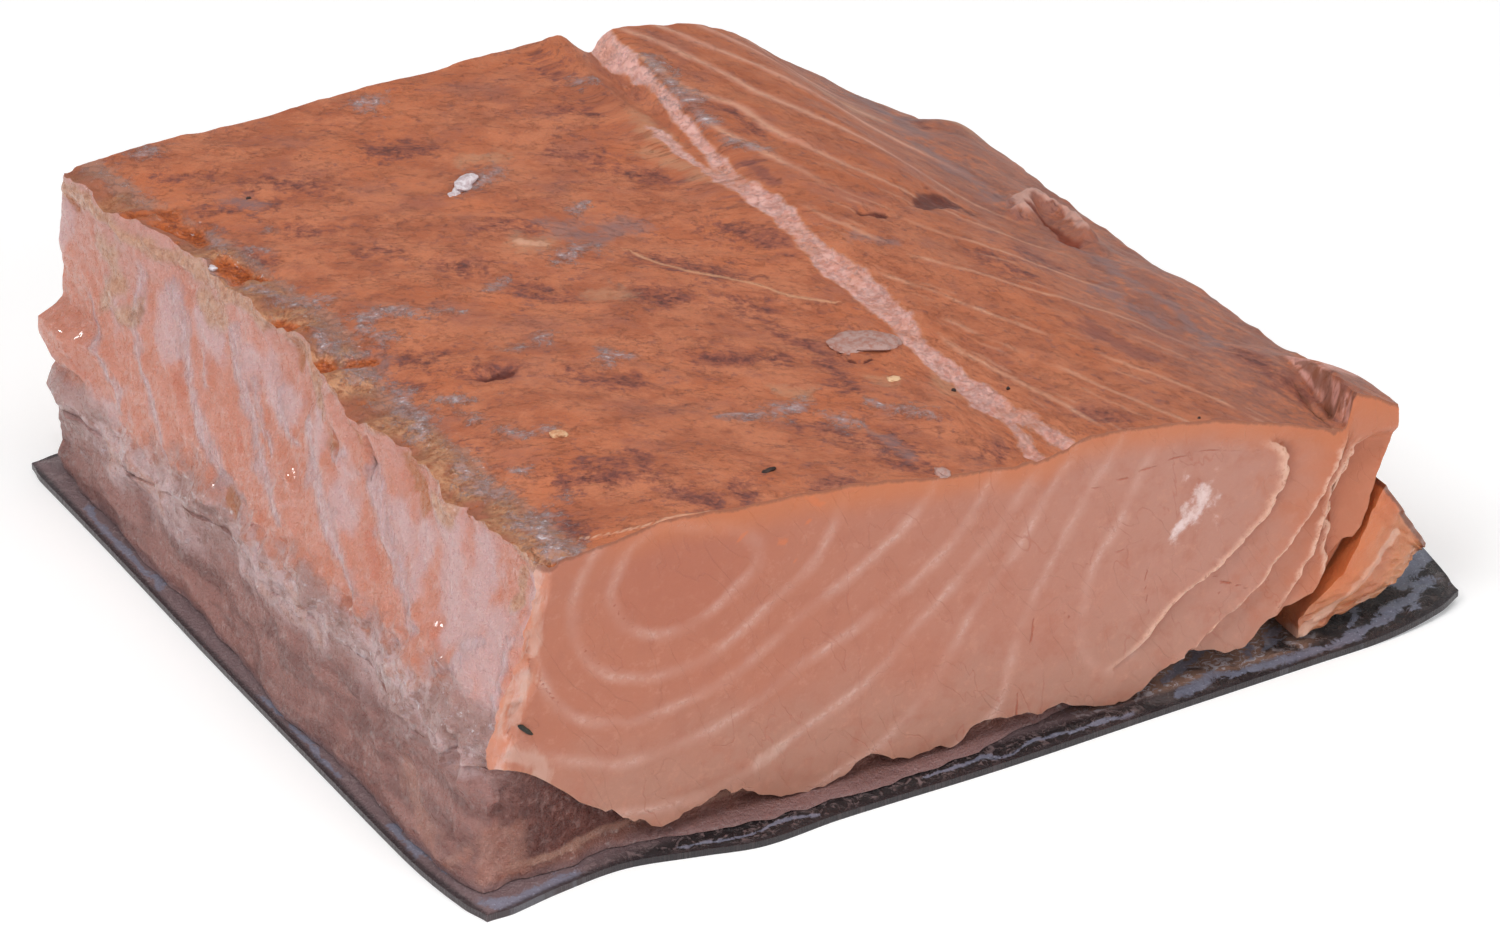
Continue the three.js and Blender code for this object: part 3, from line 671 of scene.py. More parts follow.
def ribbon(x, y):
    """1 inside the pale strip that the backbone left, between its two measured edges, and 0 outside."""
    wobble = 0.5 * hills(y, x, 2.4, 31)
    left, right = along(BACKBONE_LEFT, y), along(BACKBONE_RIGHT, y)
    strip = smooth(-0.4, 1.4, x - left + wobble) * smooth(-0.4, 1.4, right - x + wobble)
    return np.maximum(strip, marked(SIDE_STRAND, x, y))


TOP_RELIEF = {
    "bloom": 0.15, "dark": -0.1, "pale": 0.18, "maroon": -0.9, "oval": -0.25, "crack": -0.7,
    "amber": -0.8, "flap": 2.0, "cavity": -1.0,
}


def top_detail(x, y):
    """Fine relief of the top: fibres, the crags of the crust along the left edge, and the marks."""
    across, lengthwise = grain_frame(x, y)
    fibres = 0.13 * rough(across, lengthwise / 5, 1.9, 3) + 0.22 * rough(across, lengthwise / 3, 6.5, 9)
    edge = DORSAL_X + along(DORSAL_TOP, y)
    crags = (0.45 * rough(x, y, 2.2, 5) + 0.5 * hills(x, y, 5, 6) + 0.3) * hump(edge, 6, x)
    marks = sum(gain * marked(TOP_MARKS[kind], x, y) for kind, gain in TOP_RELIEF.items())
    strip = ribbon(x, y)
    waves = 0.12 * np.sin(1.9 * y + 2.5 * hills(x, y, 3, 14))
    ribs = strip * (waves + 0.12 * rough(x, y, 1.7, 15) - 0.15)
    return fibres + crags + marks + ribs


def slab_share(x, y):
    """How much of the slab's rise a place has: none left of its crack, all of it right of the crack."""
    crack = SLAB_X + SLAB_SLANT * (y - CUT_FRONT) + 0.3 * hills(y, 0.0, 1.6, 40)
    return smooth(crack - SLAB_EDGE / 2, crack + SLAB_EDGE / 2, x) * (1 - smooth(SLAB_FROM, SLAB_TO, y))


def flesh_top(x, y):
    """Top of the flesh: between the two cut profiles, with the seam of the backbone, the slab that has
    slipped up and the soft dents of the dried surface."""
    reach = (y - CUT_FRONT) / (CUT_BACK - CUT_FRONT)
    plain = mix(along(TOP_FRONT, x), along(TOP_BACK, x), smooth(-0.05, 1.05, reach))
    seam_x = BACKBONE_X + 1.9 * smooth(0.85, 1, reach)
    seam = hump(seam_x, 4, x) * mix(0.5, 2.3, smooth(0.6, 1, reach))
    shoulder = 2.1 * smooth(103, 124, x) * smooth(6, 26, y) * (1 - smooth(100, 118, y))
    slab = SLAB_RISE * slab_share(x, y)
    dents = 0.35 * np.sin(x / 7.3 + 1.7 * np.sin(y / 19)) * np.sin(y / 9.1 + x / 31)
    lip = 0.5 * np.sin(y / 2.9) * np.sin(y / 6.7 + 1) * hump(DORSAL_X, 9, x)
    lump = 0.8 * hump(121, 4.5, x) * hump(63, 8, y) + 2.6 * hump(127, 7, x) * hump(107, 9, y)
    crest = along(CREST, y) * smooth(113, 123, x)
    return plain - seam + shoulder + slab + dents + lip + lump + crest


print("height of the top at its middle:", flesh_top(70.0, 60.0).round(2), "mm")


# %% The underside, over the dark meat
def dark_top(x, y):
    """Top of the dark meat: a thin sheet, with a thick wedge exp(-((x - 3) / 12) ** 2) at the back."""
    sheet = mix(DARK_SHEET, DARK_THIN, smooth(76, DARK_END_X, x))
    wedge = DARK_WEDGE * mix(1, 0.6, smooth(40, 118, y)) * np.exp(-((x - 3) / 12) ** 2)
    wave = 0.7 * hills(y, x / 4, 8, 19) * (1 - smooth(6, 20, x))
    return SKIN_THICK + GAP + sheet + wedge + wave


def flesh_under(x, y):
    """Underside of the flesh: on the dark meat, curling up at the belly end, and with the lower edge of
    the near cut hanging toothed in front of the dark meat."""
    curl = along(CURL, x) * (1 - 0.75 * smooth(25, 60, y))
    plain = dark_top(np.minimum(x, DARK_END_X), y) + 6 * GAP + curl
    rim = 1 - smooth(0.75 * OVERHANG, OVERHANG, y - CUT_FRONT)
    teeth = 0.42 * hills(x, 0.0, 1.25, 21) + 0.25 * hills(x, 0.0, 0.8, 24) + 0.3 * hills(x, 0.0, 3.3, 22)
    return mix(plain, along(LOWER_EDGE, x) + teeth, rim * smooth(12, 17, x))


thickness = flesh_top(70.0, 60.0) - flesh_under(70.0, 60.0)
print("thickness of the flesh at its middle:", thickness.round(1), "mm")


# %% The back side and the belly end
SIDE_RELIEF = {
    "sheet": -0.3, "veil": -0.25, "crust": -0.35, "amber": 0.7, "slit": 1.1, "fat": -0.35, "red": 0.15,
}


def dorsal_side(y, z):
    """Left side: it leans in from the skin to the top edge, with a ledge near the far cut where the lower
    flakes stand out, and its marks standing out or sunk in. A smaller x is farther out."""
    low, top = along(DORSAL_LOW, y), DORSAL_X + along(DORSAL_TOP, y)
    low_flake = 1.2 * hump(13, 3.4, z) - 1.2 * hump(17, 2, z)
    under_step = 3.6 * (1 - smooth(23.8, 24.8, z)) * mix(0.3, 1, smooth(12, 24, z))
    ledge = smooth(106, 122, y) * (under_step + low_flake)
    swell = 0.5 * np.sin(y / 3.1 + z / 4) * hump(11, 9, z) + 0.5 * np.sin(y / 4.7) * hump(40, 6, z)
    marks = sum(gain * marked(SIDE_MARKS[kind], y, z) for kind, gain in SIDE_RELIEF.items())
    fat = marked(SIDE_MARKS["fat"], y, z).clip(0.35 * hump(13, 9, z), 1)
    fibres = 0.25 * rough((y - 2 * z) / 2.2, (2 * y + z) / 9, 1.6, 51)
    fibres = fibres + (0.15 + 0.95 * fat) * rough(y, z, 3.0, 52)
    crumbs = 0.4 * rough(y, z, 1.8, 53) * smooth(38.5, 42, z)
    return mix(low, top, along(LEAN, z)) - ledge + swell + marks + fibres + crumbs


def belly_side(y, z):
    """Right end: the near cut's own outline, rounder and in slanting flakes farther along the fish."""
    settled = smooth(14, 40, y)
    folds = 0.6 * np.sin(z / 2.1 + 0.6 * np.sin(y / 11)) * settled
    leaves = 0.5 * belly_saw(y, z) * smooth(8, 20, y)
    fine = 0.16 * rough(y, z, 1.9, 61)
    drawn_in = settled * 1.1 * hump(32, 9, z) + 2.2 * smooth(105, 126, y)
    return along(BELLY, z) - drawn_in + folds + leaves + fine


def belly_seams(y, z):
    """Number of the seam at (y, z) on the belly end: one every 9 mm, leaning back with height."""
    return (y + 0.9 * z + 1.5 * hills(y, z, 9, 62)) / 9


def belly_saw(y, z):
    """A gentle ramp over each flake that drops sharply at the next seam."""
    share = belly_seams(y, z) % 1
    return share - smooth(0.9, 1, share)


print("the left side leans in by", (dorsal_side(60.0, 42.0) - dorsal_side(60.0, 2.0)).round(1), "mm")


# %% The two cuts
def near_cut(x, z):
    """Near cut: flat, a little swollen in the middle, with flakes that lie one behind the other."""
    seams = seam_count(x, z)
    grooves = 0.1 * np.exp(-(((seams - np.round(seams)) / 0.1) ** 2)) * (1 - smooth(92, 100, x))
    swell = 0.5 * hump(34, 26, x) * hump(24, 22, z)
    fine = 0.07 * rough(x, z, 1.4, 71) + 0.16 * rough(x, z, 7, 72)
    inside = x - along(CORNER_LINE, z)
    torn = (1 - smooth(-0.6, 0.2, inside)) * (0.7 + 0.6 * rough(x, z, 2.2, 73))
    return CUT_FRONT + cut_steps(x, z) + grooves - swell + fine + np.maximum(torn, 0)


def far_cut(x, z):
    """Far cut: flat, with the notch of the backbone and the grooves of the same rings."""
    notch = 2.4 * hump(BACKBONE_X + 0.8, 3.6, x) * smooth(34, 44, z)
    seams = seam_count(x, z)
    grooves = 0.15 * np.exp(-(((seams - np.round(seams)) / 0.1) ** 2))
    fine = 0.07 * rough(x, z, 1.4, 75) + 0.16 * rough(x, z, 7, 76)
    swell = 0.5 * np.sin(x / 6 + z / 5) * hump(24, 20, z)
    return CUT_BACK + along(BACK_LINE, x) - notch + swell - grooves + fine


print("depth of the cuts:", (far_cut(60.0, 20.0) - near_cut(60.0, 20.0)).round(1), "mm")

# %% [markdown]
# ## A warped box
#
# Every piece here is a lattice of u, v and w from 0 to 1 whose outer nodes are moved to where the fish's
# surfaces are. Numbering only the outer nodes, and reading the six sides out of that numbering, gives a
# closed mesh with shared edges and no loop over vertices.


# %% Lattice box and mesh
SIDES = ("top", "under", "near", "far", "right", "left")


def warped_box(us, vs, ws, place):
    """Points, four-sided faces and the side of each face (its place in SIDES) for a box whose lattice
    nodes go to place(u, v, w)."""
    inner = np.zeros((len(us), len(vs), len(ws)), bool)
    inner[1:-1, 1:-1, 1:-1] = True
    number = np.cumsum(~inner).reshape(inner.shape) - 1
    u, v, w = (grid[~inner] for grid in np.meshgrid(us, vs, ws, indexing="ij"))
    grids = (
        number[:, :, -1], number[:, :, 0].T, number[:, 0, :], number[:, -1, :].T, number[-1], number[0].T)
    faces, sides = [], []
    for side, grid in enumerate(grids):
        corners = (grid[:-1, :-1], grid[1:, :-1], grid[1:, 1:], grid[:-1, 1:])
        faces.append(np.stack([part.ravel() for part in corners], axis=1))
        sides.append(np.full(len(faces[-1]), side))
    return np.column_stack(place(u, v, w)), np.concatenate(faces), np.concatenate(sides)


def add_piece(name, points, faces, sharp=50):
    """A mesh object from points in the fish's millimetres, smooth but for edges sharper than `sharp`."""
    mesh = bpy.data.meshes.new(name)
    mesh.from_pydata(((points + corner) * MM).tolist(), [], faces.tolist())
    mesh.polygons.foreach_set("use_smooth", np.ones(len(mesh.polygons), bool))
    mesh.set_sharp_from_angle(angle=math.radians(sharp))
    made = bpy.data.objects.new(name, mesh)
    bpy.context.collection.objects.link(made)
    closed = not np.any(open_edges(faces))
    print(f"{name}: {len(points)} points, {2 * len(faces)} triangles, closed: {closed}")
    return made


def open_edges(faces):
    """True for each edge that doesn't have exactly two faces."""
    ends = np.sort(np.stack([faces, np.roll(faces, -1, axis=1)], axis=2).reshape(-1, 2), axis=1)
    return np.unique(ends, axis=0, return_counts=True)[1] != 2


def paint(piece, **values):
    """Stores a number for every point, or three numbers, under a name that a material can read."""
    for name, value in values.items():
        value = np.asarray(value, np.float32)
        kind, field = ("FLOAT", "value") if value.ndim == 1 else ("FLOAT_VECTOR", "vector")
        piece.data.attributes.new(name, kind, "POINT").data.foreach_set(field, value.ravel())


# %% [markdown]
# ## The block of flesh
#
# The lattice is closest together where there is most to see: along the near cut, at the crusted left
# edge, at the backbone and among the loose flakes. Each node is placed in three steps, because x, y and
# z of a side depend on each other: a nominal z gives x, x gives z, and both give y.

# %% Flesh
share = (np.array([BACKBONE_X, 112.0]) - DORSAL_X) / (BELLY_X - DORSAL_X)
flesh_us = crowded(184, (0, 0.08, 1.0), (share[0], 0.04, 0.5), (share[1], 0.2, 0.6))
flesh_vs = crowded(146, (0, 0.05, 1.6))
flesh_ws = crowded(62, (0, 0.08, 0.5), (1, 0.12, 0.7))


def flesh_place(u, v, w):
    """Nominal y, then z and x at the sides, then the true z and y."""
    y0 = mix(CUT_FRONT, CUT_BACK, v)
    x0 = mix(DORSAL_X, BELLY_X, u)
    z0 = mix(flesh_under(x0, y0), flesh_top(x0, y0), w)
    x = mix(dorsal_side(y0, z0), belly_side(y0, z0), u)
    low, high = flesh_under(x, y0), flesh_top(x, y0) + top_detail(x, y0)
    z = mix(low, high, w)
    return x, mix(near_cut(x, z), far_cut(x, z), v), z


flesh_points, flesh_faces, flesh_sides = warped_box(flesh_us, flesh_vs, flesh_ws, flesh_place)
flesh = add_piece("flesh_block", flesh_points, flesh_faces)

# %% What the flesh's materials read
SEAM_STEP, LEAST_SLOPE = 0.15, 0.07
FLAKE_REACH, CRACK_REACH, BLOOM_SPREAD = 8, 5, 1.7
x, y, z = flesh_points.T


def seam_spacing(count, a, b):
    """Millimetres from one seam to the next: one over the slope of the numbered surface."""
    slope_a = count(a + SEAM_STEP, b) - count(a - SEAM_STEP, b)
    slope_b = count(a, b + SEAM_STEP) - count(a, b - SEAM_STEP)
    return 1 / np.maximum(np.hypot(slope_a, slope_b) / (2 * SEAM_STEP), LEAST_SLOPE)


def paint_marks(piece, prefix, marks, a, b, share=1.0):
    """Paints the strength of each kind of mark, times a share, under the prefix and the kind."""
    paint(piece, **{f"{prefix}_{kind}": marked(strokes, a, b) * share for kind, strokes in marks.items()})


across, lengthwise = grain_frame(x, y)
past_backbone = smooth(0, 2, x - along(BACKBONE_RIGHT, y))
from_lip = x - DORSAL_X - along(DORSAL_TOP, y)
on_slab = slab_share(x, y)
blooms = [(BLOOM_SPREAD * width, route) for width, route in TOP_MARKS["bloom"]]
from_cracks = np.min([away(x, z, route) for route in CUT_CRACKS], axis=0)
paint(
    flesh,
    seams=seam_count(x, z),
    seam_gap=seam_spacing(seam_count, x, z),
    top_seams=top_seam_count(x, y),
    top_seam_gap=seam_spacing(top_seam_count, x, y),
    right_field=past_backbone * (1 - smooth(108, 117, x)),
    back_field=past_backbone * smooth(66, 92, y) * (1 - smooth(108, 118, x)),
    depth=flesh_top(x, y) + top_detail(x, y) - z,
    grain=np.column_stack([across, lengthwise, np.zeros_like(x)]),
    ribbon=ribbon(x, y),
    ribbon_back=smooth(84, 116, y),
    belly_seams=belly_seams(y, z),
    fin_line=z - along(FIN_LINE, y),
    corner_line=x - along(CORNER_LINE, z),
    crack=beside(x, y, CRACK),
    crack_near=marked([(2.6, CRACK)], x, y),
    lip_near=1 - smooth(1.5, 8.5, from_lip),
    lip_strip=hump(4.2, 3.6, from_lip),
    slope=smooth(99, 117, x),
    slab_face=4 * on_slab * (1 - on_slab),
    bloom_wide=marked(blooms, x, y),
    cut_line=np.minimum(from_cracks, CRACK_REACH),
)
for k in range(len(FLAKE_EDGES)):
    beyond = np.clip(beyond_flake(k, x, z), -FLAKE_REACH, FLAKE_REACH)
    paint(flesh, **{f"flake_{k}": beyond, f"flake_fade_{k}": flake_fade(k, z)})
coloured = {kind: strokes for kind, strokes in SIDE_MARKS.items() if kind != "fat"}
paint_marks(flesh, "top", TOP_MARKS, x, y)
paint_marks(flesh, "side", coloured, y, z, share=1 - smooth(3, 7, x - dorsal_side(y, z)))
paint_marks(flesh, "cut", CUT_MARKS, x, z)
print("attributes on the flesh:", len(flesh.data.attributes))

# %% [markdown]
# ## Dark meat
#
# Between the flesh and the skin lies a layer of dark muscle: a thin sheet, and a thick wedge along the
# back of the fish, where its fibres run lengthwise and have frayed.


# %% Dark meat
def dark_place(u, v, w):
    """Same steps as the flesh, with a brow under the overhang and a foot that comes forward."""
    floor_z = SKIN_THICK + GAP
    y0 = mix(CUT_FRONT, CUT_BACK, v)
    z0 = mix(floor_z, dark_top(0.0, y0), w)
    bulge = 0.5 * hump(3, 3, z0) + 1.6 * hump(11.5, 4, z0) * smooth(106, 122, y0)
    frayed = 0.4 * rough(y0 / 4, z0, 1.8, 81) + 0.7 * rough(y0 / 2, z0, 5.5, 83) * smooth(2, 6, z0)
    loose = 1 - smooth(0.6, 0.95, w)
    x = mix(dorsal_side(y0, z0) + (frayed - bulge) * loose, DARK_END_X - 2 * w, u)
    z = mix(floor_z, dark_top(x, y0) + 5 * GAP, w)
    brow = near_cut(x, z) + mix(0.4, OVERHANG + 6 * GAP, smooth(8, 19, x))
    foot = along(DARK_FOOT, x) + 0.5 * hills(x, 0.0, 2.6, 85)
    front = mix(foot, brow, smooth(0, 0.35, w)) + 0.25 * rough(x, z, 1.6, 86)
    back = CUT_BACK + along(BACK_LINE, x) - 0.8 + 0.3 * rough(x, z, 2.0, 87)
    return x, mix(front, back, v), z


dark_points, dark_faces, _ = warped_box(
    crowded(130, (0, 0.3, 1.2)), crowded(120, (0, 0.06, 1.5)), crowded(16, (0, 0.2, 0.5)), dark_place)
dark_meat = add_piece("dark_muscle", dark_points, dark_faces)
PALE_LUMPS = [
    (2.2, [(22, 9.6), (18, 6.4), (13, 4.4)]), (1.3, [(3.6, 2.4), (3.8, 8.4)]), (1.4, [(9, 3), (6, 6)]),
]
x, y, z = dark_points.T
paint(
    dark_meat,
    height=z - SKIN_THICK,
    front=(1 - smooth(5, 9, y)) * smooth(2.4, 6.2, x + 0.8 * rough(x, z, 2.0, 85)),
    fin_line=z - along(FIN_LINE, y),
    lump=marked(PALE_LUMPS, y, z) * (1 - smooth(6, 9, x)),
)

# %% [markdown]
# ## Skin
#
# The skin is a tough, thin sheet with an uneven rim. Its inner face is wet and covered with torn silver
# membranes that wrinkle, and its outer face, underneath, carries the small scales.

# %% Skin
SKIN_FRONT = [
    (-4, -1.8), (2, -1.0), (10, 0.6), (19, 1.5), (28, -0.4), (36, -2.2), (47, -1.4), (70, -1.0),
    (93, 0.2), (116, 1.3), (131, 2.1), (140, 4.1), (147, 7.6),
]
SKIN_BACK = [(-4, -2.7), (30, 0), (80, 1.2), (120, -0.6), (147, -4)]
SKIN_LEFT = [(0, -1.2), (10, -2.6), (18, -3.1), (45, -3.3), (73, -3.4), (105, -3.2), (130, -3.3)]
SKIN_RIGHT = [(2, -2.6), (7, -1.6), (13, -0.6), (20, 0), (31, -1), (46, -4.6), (90, -6), (130, -9)]
SILVER = [
    (1.1, [(97.5, 1.6), (103, 3.2), (110, 2.8), (118, 2.6)]),
    (1.5, [(118, 2.4), (126, 3.8), (133, 6), (140, 9)]), (0.8, [(110, 5), (112, 9)]),
    (0.7, [(126, 6.4), (128.6, 9)]), (2.4, [(138, 13), (141, 19), (140, 27)]),
    (0.5, [(60, 0.6), (72, 0.8), (90, 1.4)]), (0.4, [(26, 1), (44, -0.6)]),
    (1.6, [(1, 0.4), (6, 1), (12, 1.6)]), (1.2, [(98, 5.6), (104, 8.4), (108, 12)]),
    (1.0, [(113, 6), (117, 10)]), (1.6, [(136, 10.4), (143, 14), (145, 20)]),
    (1.4, [(134, 40), (138, 60)]), (0.7, [(-0.8, 10), (-1.6, 22)]), (0.5, [(-2, 36), (-2.2, 58)]),
    (0.6, [(-2, 88), (-1.6, 112)]),
]


def skin_lift(x, y):
    """The skin lies flat, and only its outer corner at the belly end curls up."""
    return 1.1 * smooth(124, SKIN_WIDTH, x) * (1 - smooth(20, 60, y))


def skin_place(u, v, w):
    """Between its four measured edges, thinner at the rim, with wrinkled membranes on the upper face."""
    y0 = SKIN_LENGTH * v
    from_end, from_cut = np.minimum(u, 1 - u) * SKIN_WIDTH, np.minimum(v, 1 - v) * SKIN_LENGTH
    pull_x = CORNER_ROUND * (1 - smooth(0, 4, from_cut)) * (2 * u - 1)
    pull_y = CORNER_ROUND * (1 - smooth(0, 4, from_end)) * (2 * v - 1)
    x = mix(along(SKIN_LEFT, y0), SKIN_WIDTH + along(SKIN_RIGHT, y0), u) - pull_x
    y = mix(along(SKIN_FRONT, x), SKIN_LENGTH + along(SKIN_BACK, x), v) - pull_y
    from_rim = np.minimum(from_end, from_cut)
    wrinkles = (0.16 * rough(x, y, 2.2, 91) + 0.1 * rough(x, y, 0.9, 94)) * smooth(0, 2, from_rim) * w
    clear = np.maximum(1 - smooth(0, 3, from_block(x, y)), 0)
    wrinkles = np.minimum(wrinkles, 0.3) * (1 - clear) - 0.1 * clear * w
    rim = RIM_DROP * hump(0, 2.5, from_rim) * w
    return x, y, skin_lift(x, y) + SKIN_THICK * w - rim + wrinkles


def from_block(x, y):
    """How far outside the foot of the block a place on the skin is: 0 under the fish."""
    outside_left = along(DORSAL_LOW, y) - 1 - x
    outside_near = along(DARK_FOOT, x) - 0.6 - y
    outside_right = x - 117
    outside_far = y - CUT_BACK
    sides = np.stack(np.broadcast_arrays(outside_left, outside_near, outside_right, outside_far))
    return np.maximum(sides.max(axis=0), 0)


skin_points, skin_faces, skin_sides = warped_box(
    crowded(190, (0, 0.08, 1.6), (1, 0.2, 1.2)), crowded(150, (0, 0.1, 2.2), (1, 0.05, 1)), crowded(2),
    skin_place)
skin = add_piece("skin_sheet", skin_points, skin_faces)
x, y, z = skin_points.T
rim_left, rim_right = along(SKIN_LEFT, y), SKIN_WIDTH + along(SKIN_RIGHT, y)
rim_near, rim_far = along(SKIN_FRONT, x), SKIN_LENGTH + along(SKIN_BACK, x)
paint(
    skin,
    rim=np.stack([x - rim_left, rim_right - x, y - rim_near, rim_far - y]).min(axis=0),
    belly=smooth(80, 104, x),
    near=smooth(8, 24, x) * (1 - smooth(2, 5, y)),
    silver=marked(SILVER, x, y),
    # gap: the skin in the shade under the flesh's overhang, where its membranes get painted light.
    gap=smooth(78, 92, x) * smooth(2.6, 4.6, y) * (1 - smooth(116, 122, x)),
    flat=np.column_stack([x, y, np.zeros_like(x)]),
)

# %% [markdown]
# ## The loose flake
#
# One flake has come away at the belly corner and leans against the block. Its section is given by its two
# long sides, and it slims down towards its far end.

# %% Belly flake
FLAKE_LEFT = [(117.2, 1.8), (117.6, 4.9), (122.9, 9.6), (127.2, 15.4), (129.4, 20.8)]
FLAKE_RIGHT = [(128.4, 3.2), (131.6, 4.9), (134.3, 6.7), (136.2, 8.3), (136.8, 9.8)]
FLAKE_FRONT, FLAKE_LENGTH, FLAKE_SLIM = 5.0, 31.0, 0.45


def on_side(side, part):
    """Point on a side given as (x, z) pairs, at a part from 0 to 1 of the way along."""
    stops = np.linspace(0, 1, len(side))
    return [np.interp(part, stops, column) for column in np.array(side, float).T]


def flake_place(u, v, w):
    """Between the two sides by u, along them by w, and back along the fish by v."""
    (left_x, left_z), (right_x, right_z) = on_side(FLAKE_LEFT, w), on_side(FLAKE_RIGHT, w)
    slim = mix(1, FLAKE_SLIM, smooth(0.15, 1, v))
    foot_x, foot_z = FLAKE_LEFT[0]
    x = foot_x + (mix(left_x, right_x, u) - foot_x) * mix(1, slim, 0.6) + 2.4 * smooth(0, 1, v)
    z = foot_z + (mix(left_z, right_z, u) - foot_z) * slim
    torn = 0.5 * np.sin(9 * w + 2 * u) + 0.35 * hills(30 * w, 12 * u, 1.3, 101)
    torn = torn + 0.5 * smooth(0.35, 0.5, u)
    y = FLAKE_FRONT + FLAKE_LENGTH * v + torn * (1 - v) ** 2 + 0.7 * u * (1 - 2 * v)
    foot_teeth = 0.45 * hills(x, y / 3, 1.2, 103) * (1 - w) ** 4 * smooth(0.02, 0.3, u)
    ripple = 0.12 * rough(y, 14 * w, 3.1, 104) * np.sin(np.pi * np.clip(w, 0, 1))
    return x + ripple, y, z + skin_lift(x, y) * 0.9 * (1 - w) + foot_teeth + 0.12


flake_points, flake_faces, _ = warped_box(
    crowded(36), crowded(56, (0, 0.1, 1)), crowded(48, (0, 0.15, 0.8), (1, 0.1, 0.8)), flake_place)
flake = add_piece("loose_flake", flake_points, flake_faces)
x, y, z = flake_points.T
FLAKE_SEAM = [(117.6, 2.4), (121.7, 4.6), (124, 5.9), (126.5, 7.9), (129.3, 9.9), (132.0, 12.6)]
FLAKE_RIM = [(129.4, 20.8), (131.6, 18), (133.8, 14), (136.8, 9.8), (136.4, 8.2)]
FLAKE_GLOSS = [(127.5, 3.0), (131.6, 5.2), (134.4, 7.2), (136.4, 9.4)]
near_face = 1 - smooth(6.5, 10, y)
paint(
    flake,
    seam=np.exp(-(away(x, z, FLAKE_SEAM) / 0.9) ** 2) * near_face,
    rim=np.exp(-(away(x, z, FLAKE_RIM) / 0.7) ** 2) * near_face,
    foot=1 - smooth(0, 3, z),
    gloss=np.exp(-(away(x, z, FLAKE_GLOSS) / 1.7) ** 2) * near_face,
    shaded=(1 - smooth(0, 7, x - 117 - 0.65 * z)) * smooth(5, 9, z) * near_face,
)

# %% [markdown]
# ## Crumbs and tufts
#
# A few small things lie on the fish: lumps of white protein, crumbs, seeds and a scrap of herb. Each is a
# ball roughened by hills, squashed to three radii, turned, and sunk nearly half way into what it lies on.

# %% Small pieces
LUMPS = {
    "protein_lump": [((71.9, 37.2), (4.3, 2.6, 0.75), -32), ((63.9, 4.2), (0.9, 1.0, 0.5), 5)],
    "white_lump": [
        ((46.1, 94.2), (2.5, 1.1, 0.8), 34), ((43.4, 92.4), (1.1, 0.6, 0.4), 30),
        ((8.6, 91.0), (0.8, 0.6, 0.4), 60),
    ],
    "pale_crumb": [((24.7, 28.1), (1.05, 0.65, 0.6), -35), ((71.0, 27.9), (0.9, 0.7, 0.25), 20)],
    "dark_seed": [
        ((43.3, 9.9), (1.15, 0.35, 0.3), 12), ((76.5, 22.6), (0.3, 0.25, 0.25), 0),
        ((82.0, 18.8), (0.4, 0.25, 0.25), 40), ((20.6, 105.6), (0.4, 0.3, 0.3), 0),
        ((100.5, 4.2), (0.3, 0.25, 0.25), 30),
    ],
}
HERB_X, HERB_Z, HERB_RADII, HERB_TILT = 7.0, 22.0, (1.3, 0.25, 0.3), -43
PEBBLE_CELLS = 12


def pebble(name, centre, radii, turn, axis, seed):
    """A closed ball r = 1 + hills, squashed to its radii and turned in the plane across `axis`."""
    def place(u, v, w):
        cube = 2 * np.stack([u, v, w]) - 1
        ball = cube / np.linalg.norm(cube, axis=0)
        rise = 1 + 0.35 * rough(1.3 * ball[0] + ball[2], 1.3 * ball[1] - ball[2] + 5, 1.3, seed)
        p, q, r = ball * rise * np.array(radii)[:, None]
        cosine, sine = math.cos(math.radians(turn)), math.sin(math.radians(turn))
        if axis == "z":
            return centre[0] + p * cosine - q * sine, centre[1] + p * sine + q * cosine, centre[2] + r
        return centre[0] + p * cosine - r * sine, centre[1] + q, centre[2] + p * sine + r * cosine

    lattice = crowded(PEBBLE_CELLS)
    points, faces, _ = warped_box(lattice, lattice, lattice, place)
    return add_piece(name, points, faces)


small_pieces = {}
for kind, places in LUMPS.items():
    for i, ((at_x, at_y), radii, turn) in enumerate(places):
        spot = np.array(at_x), np.array(at_y)
        centre = (at_x, at_y, float(flesh_top(*spot) + top_detail(*spot)) + 0.1 * radii[2])
        lump = pebble(f"{kind}_{i + 1}", centre, radii, turn, "z", 200 + i)
        small_pieces.setdefault(kind, []).append(lump)
herb_y = float(near_cut(np.array(HERB_X), np.array(HERB_Z))) - 0.1
small_pieces["herb_scrap"] = [
    pebble("herb_scrap", (HERB_X, herb_y, HERB_Z), HERB_RADII, HERB_TILT, "y", 230)]
print("small pieces:", {kind: len(pieces) for kind, pieces in small_pieces.items()})

# %% [markdown]
# ## Shader maths as plain Python
#
# A socket is wrapped so that + - * / and abs() add Math nodes. All other nodes come from one method that
# takes the node's type, its settings and the values or links of its sockets. Colours are written as they
# are seen, with red, green and blue from 0 to 255, and a finish is built up as on a real surface: a base
# colour, then coat after coat, each with a mask that says where it lies.


# %% Colours as they are seen
def shade(red, green, blue):
    """A colour given as it is seen, from 0 to 255, as the light that it returns."""
    seen = np.array([red, green, blue]) / 255
    linear = np.where(seen <= 0.04045, seen / 12.92, ((seen + 0.055) / 1.055) ** 2.4)
    return (*linear.tolist(), 1.0)


print("mid grey returns", round(shade(128, 128, 128)[0], 3), "of the light")


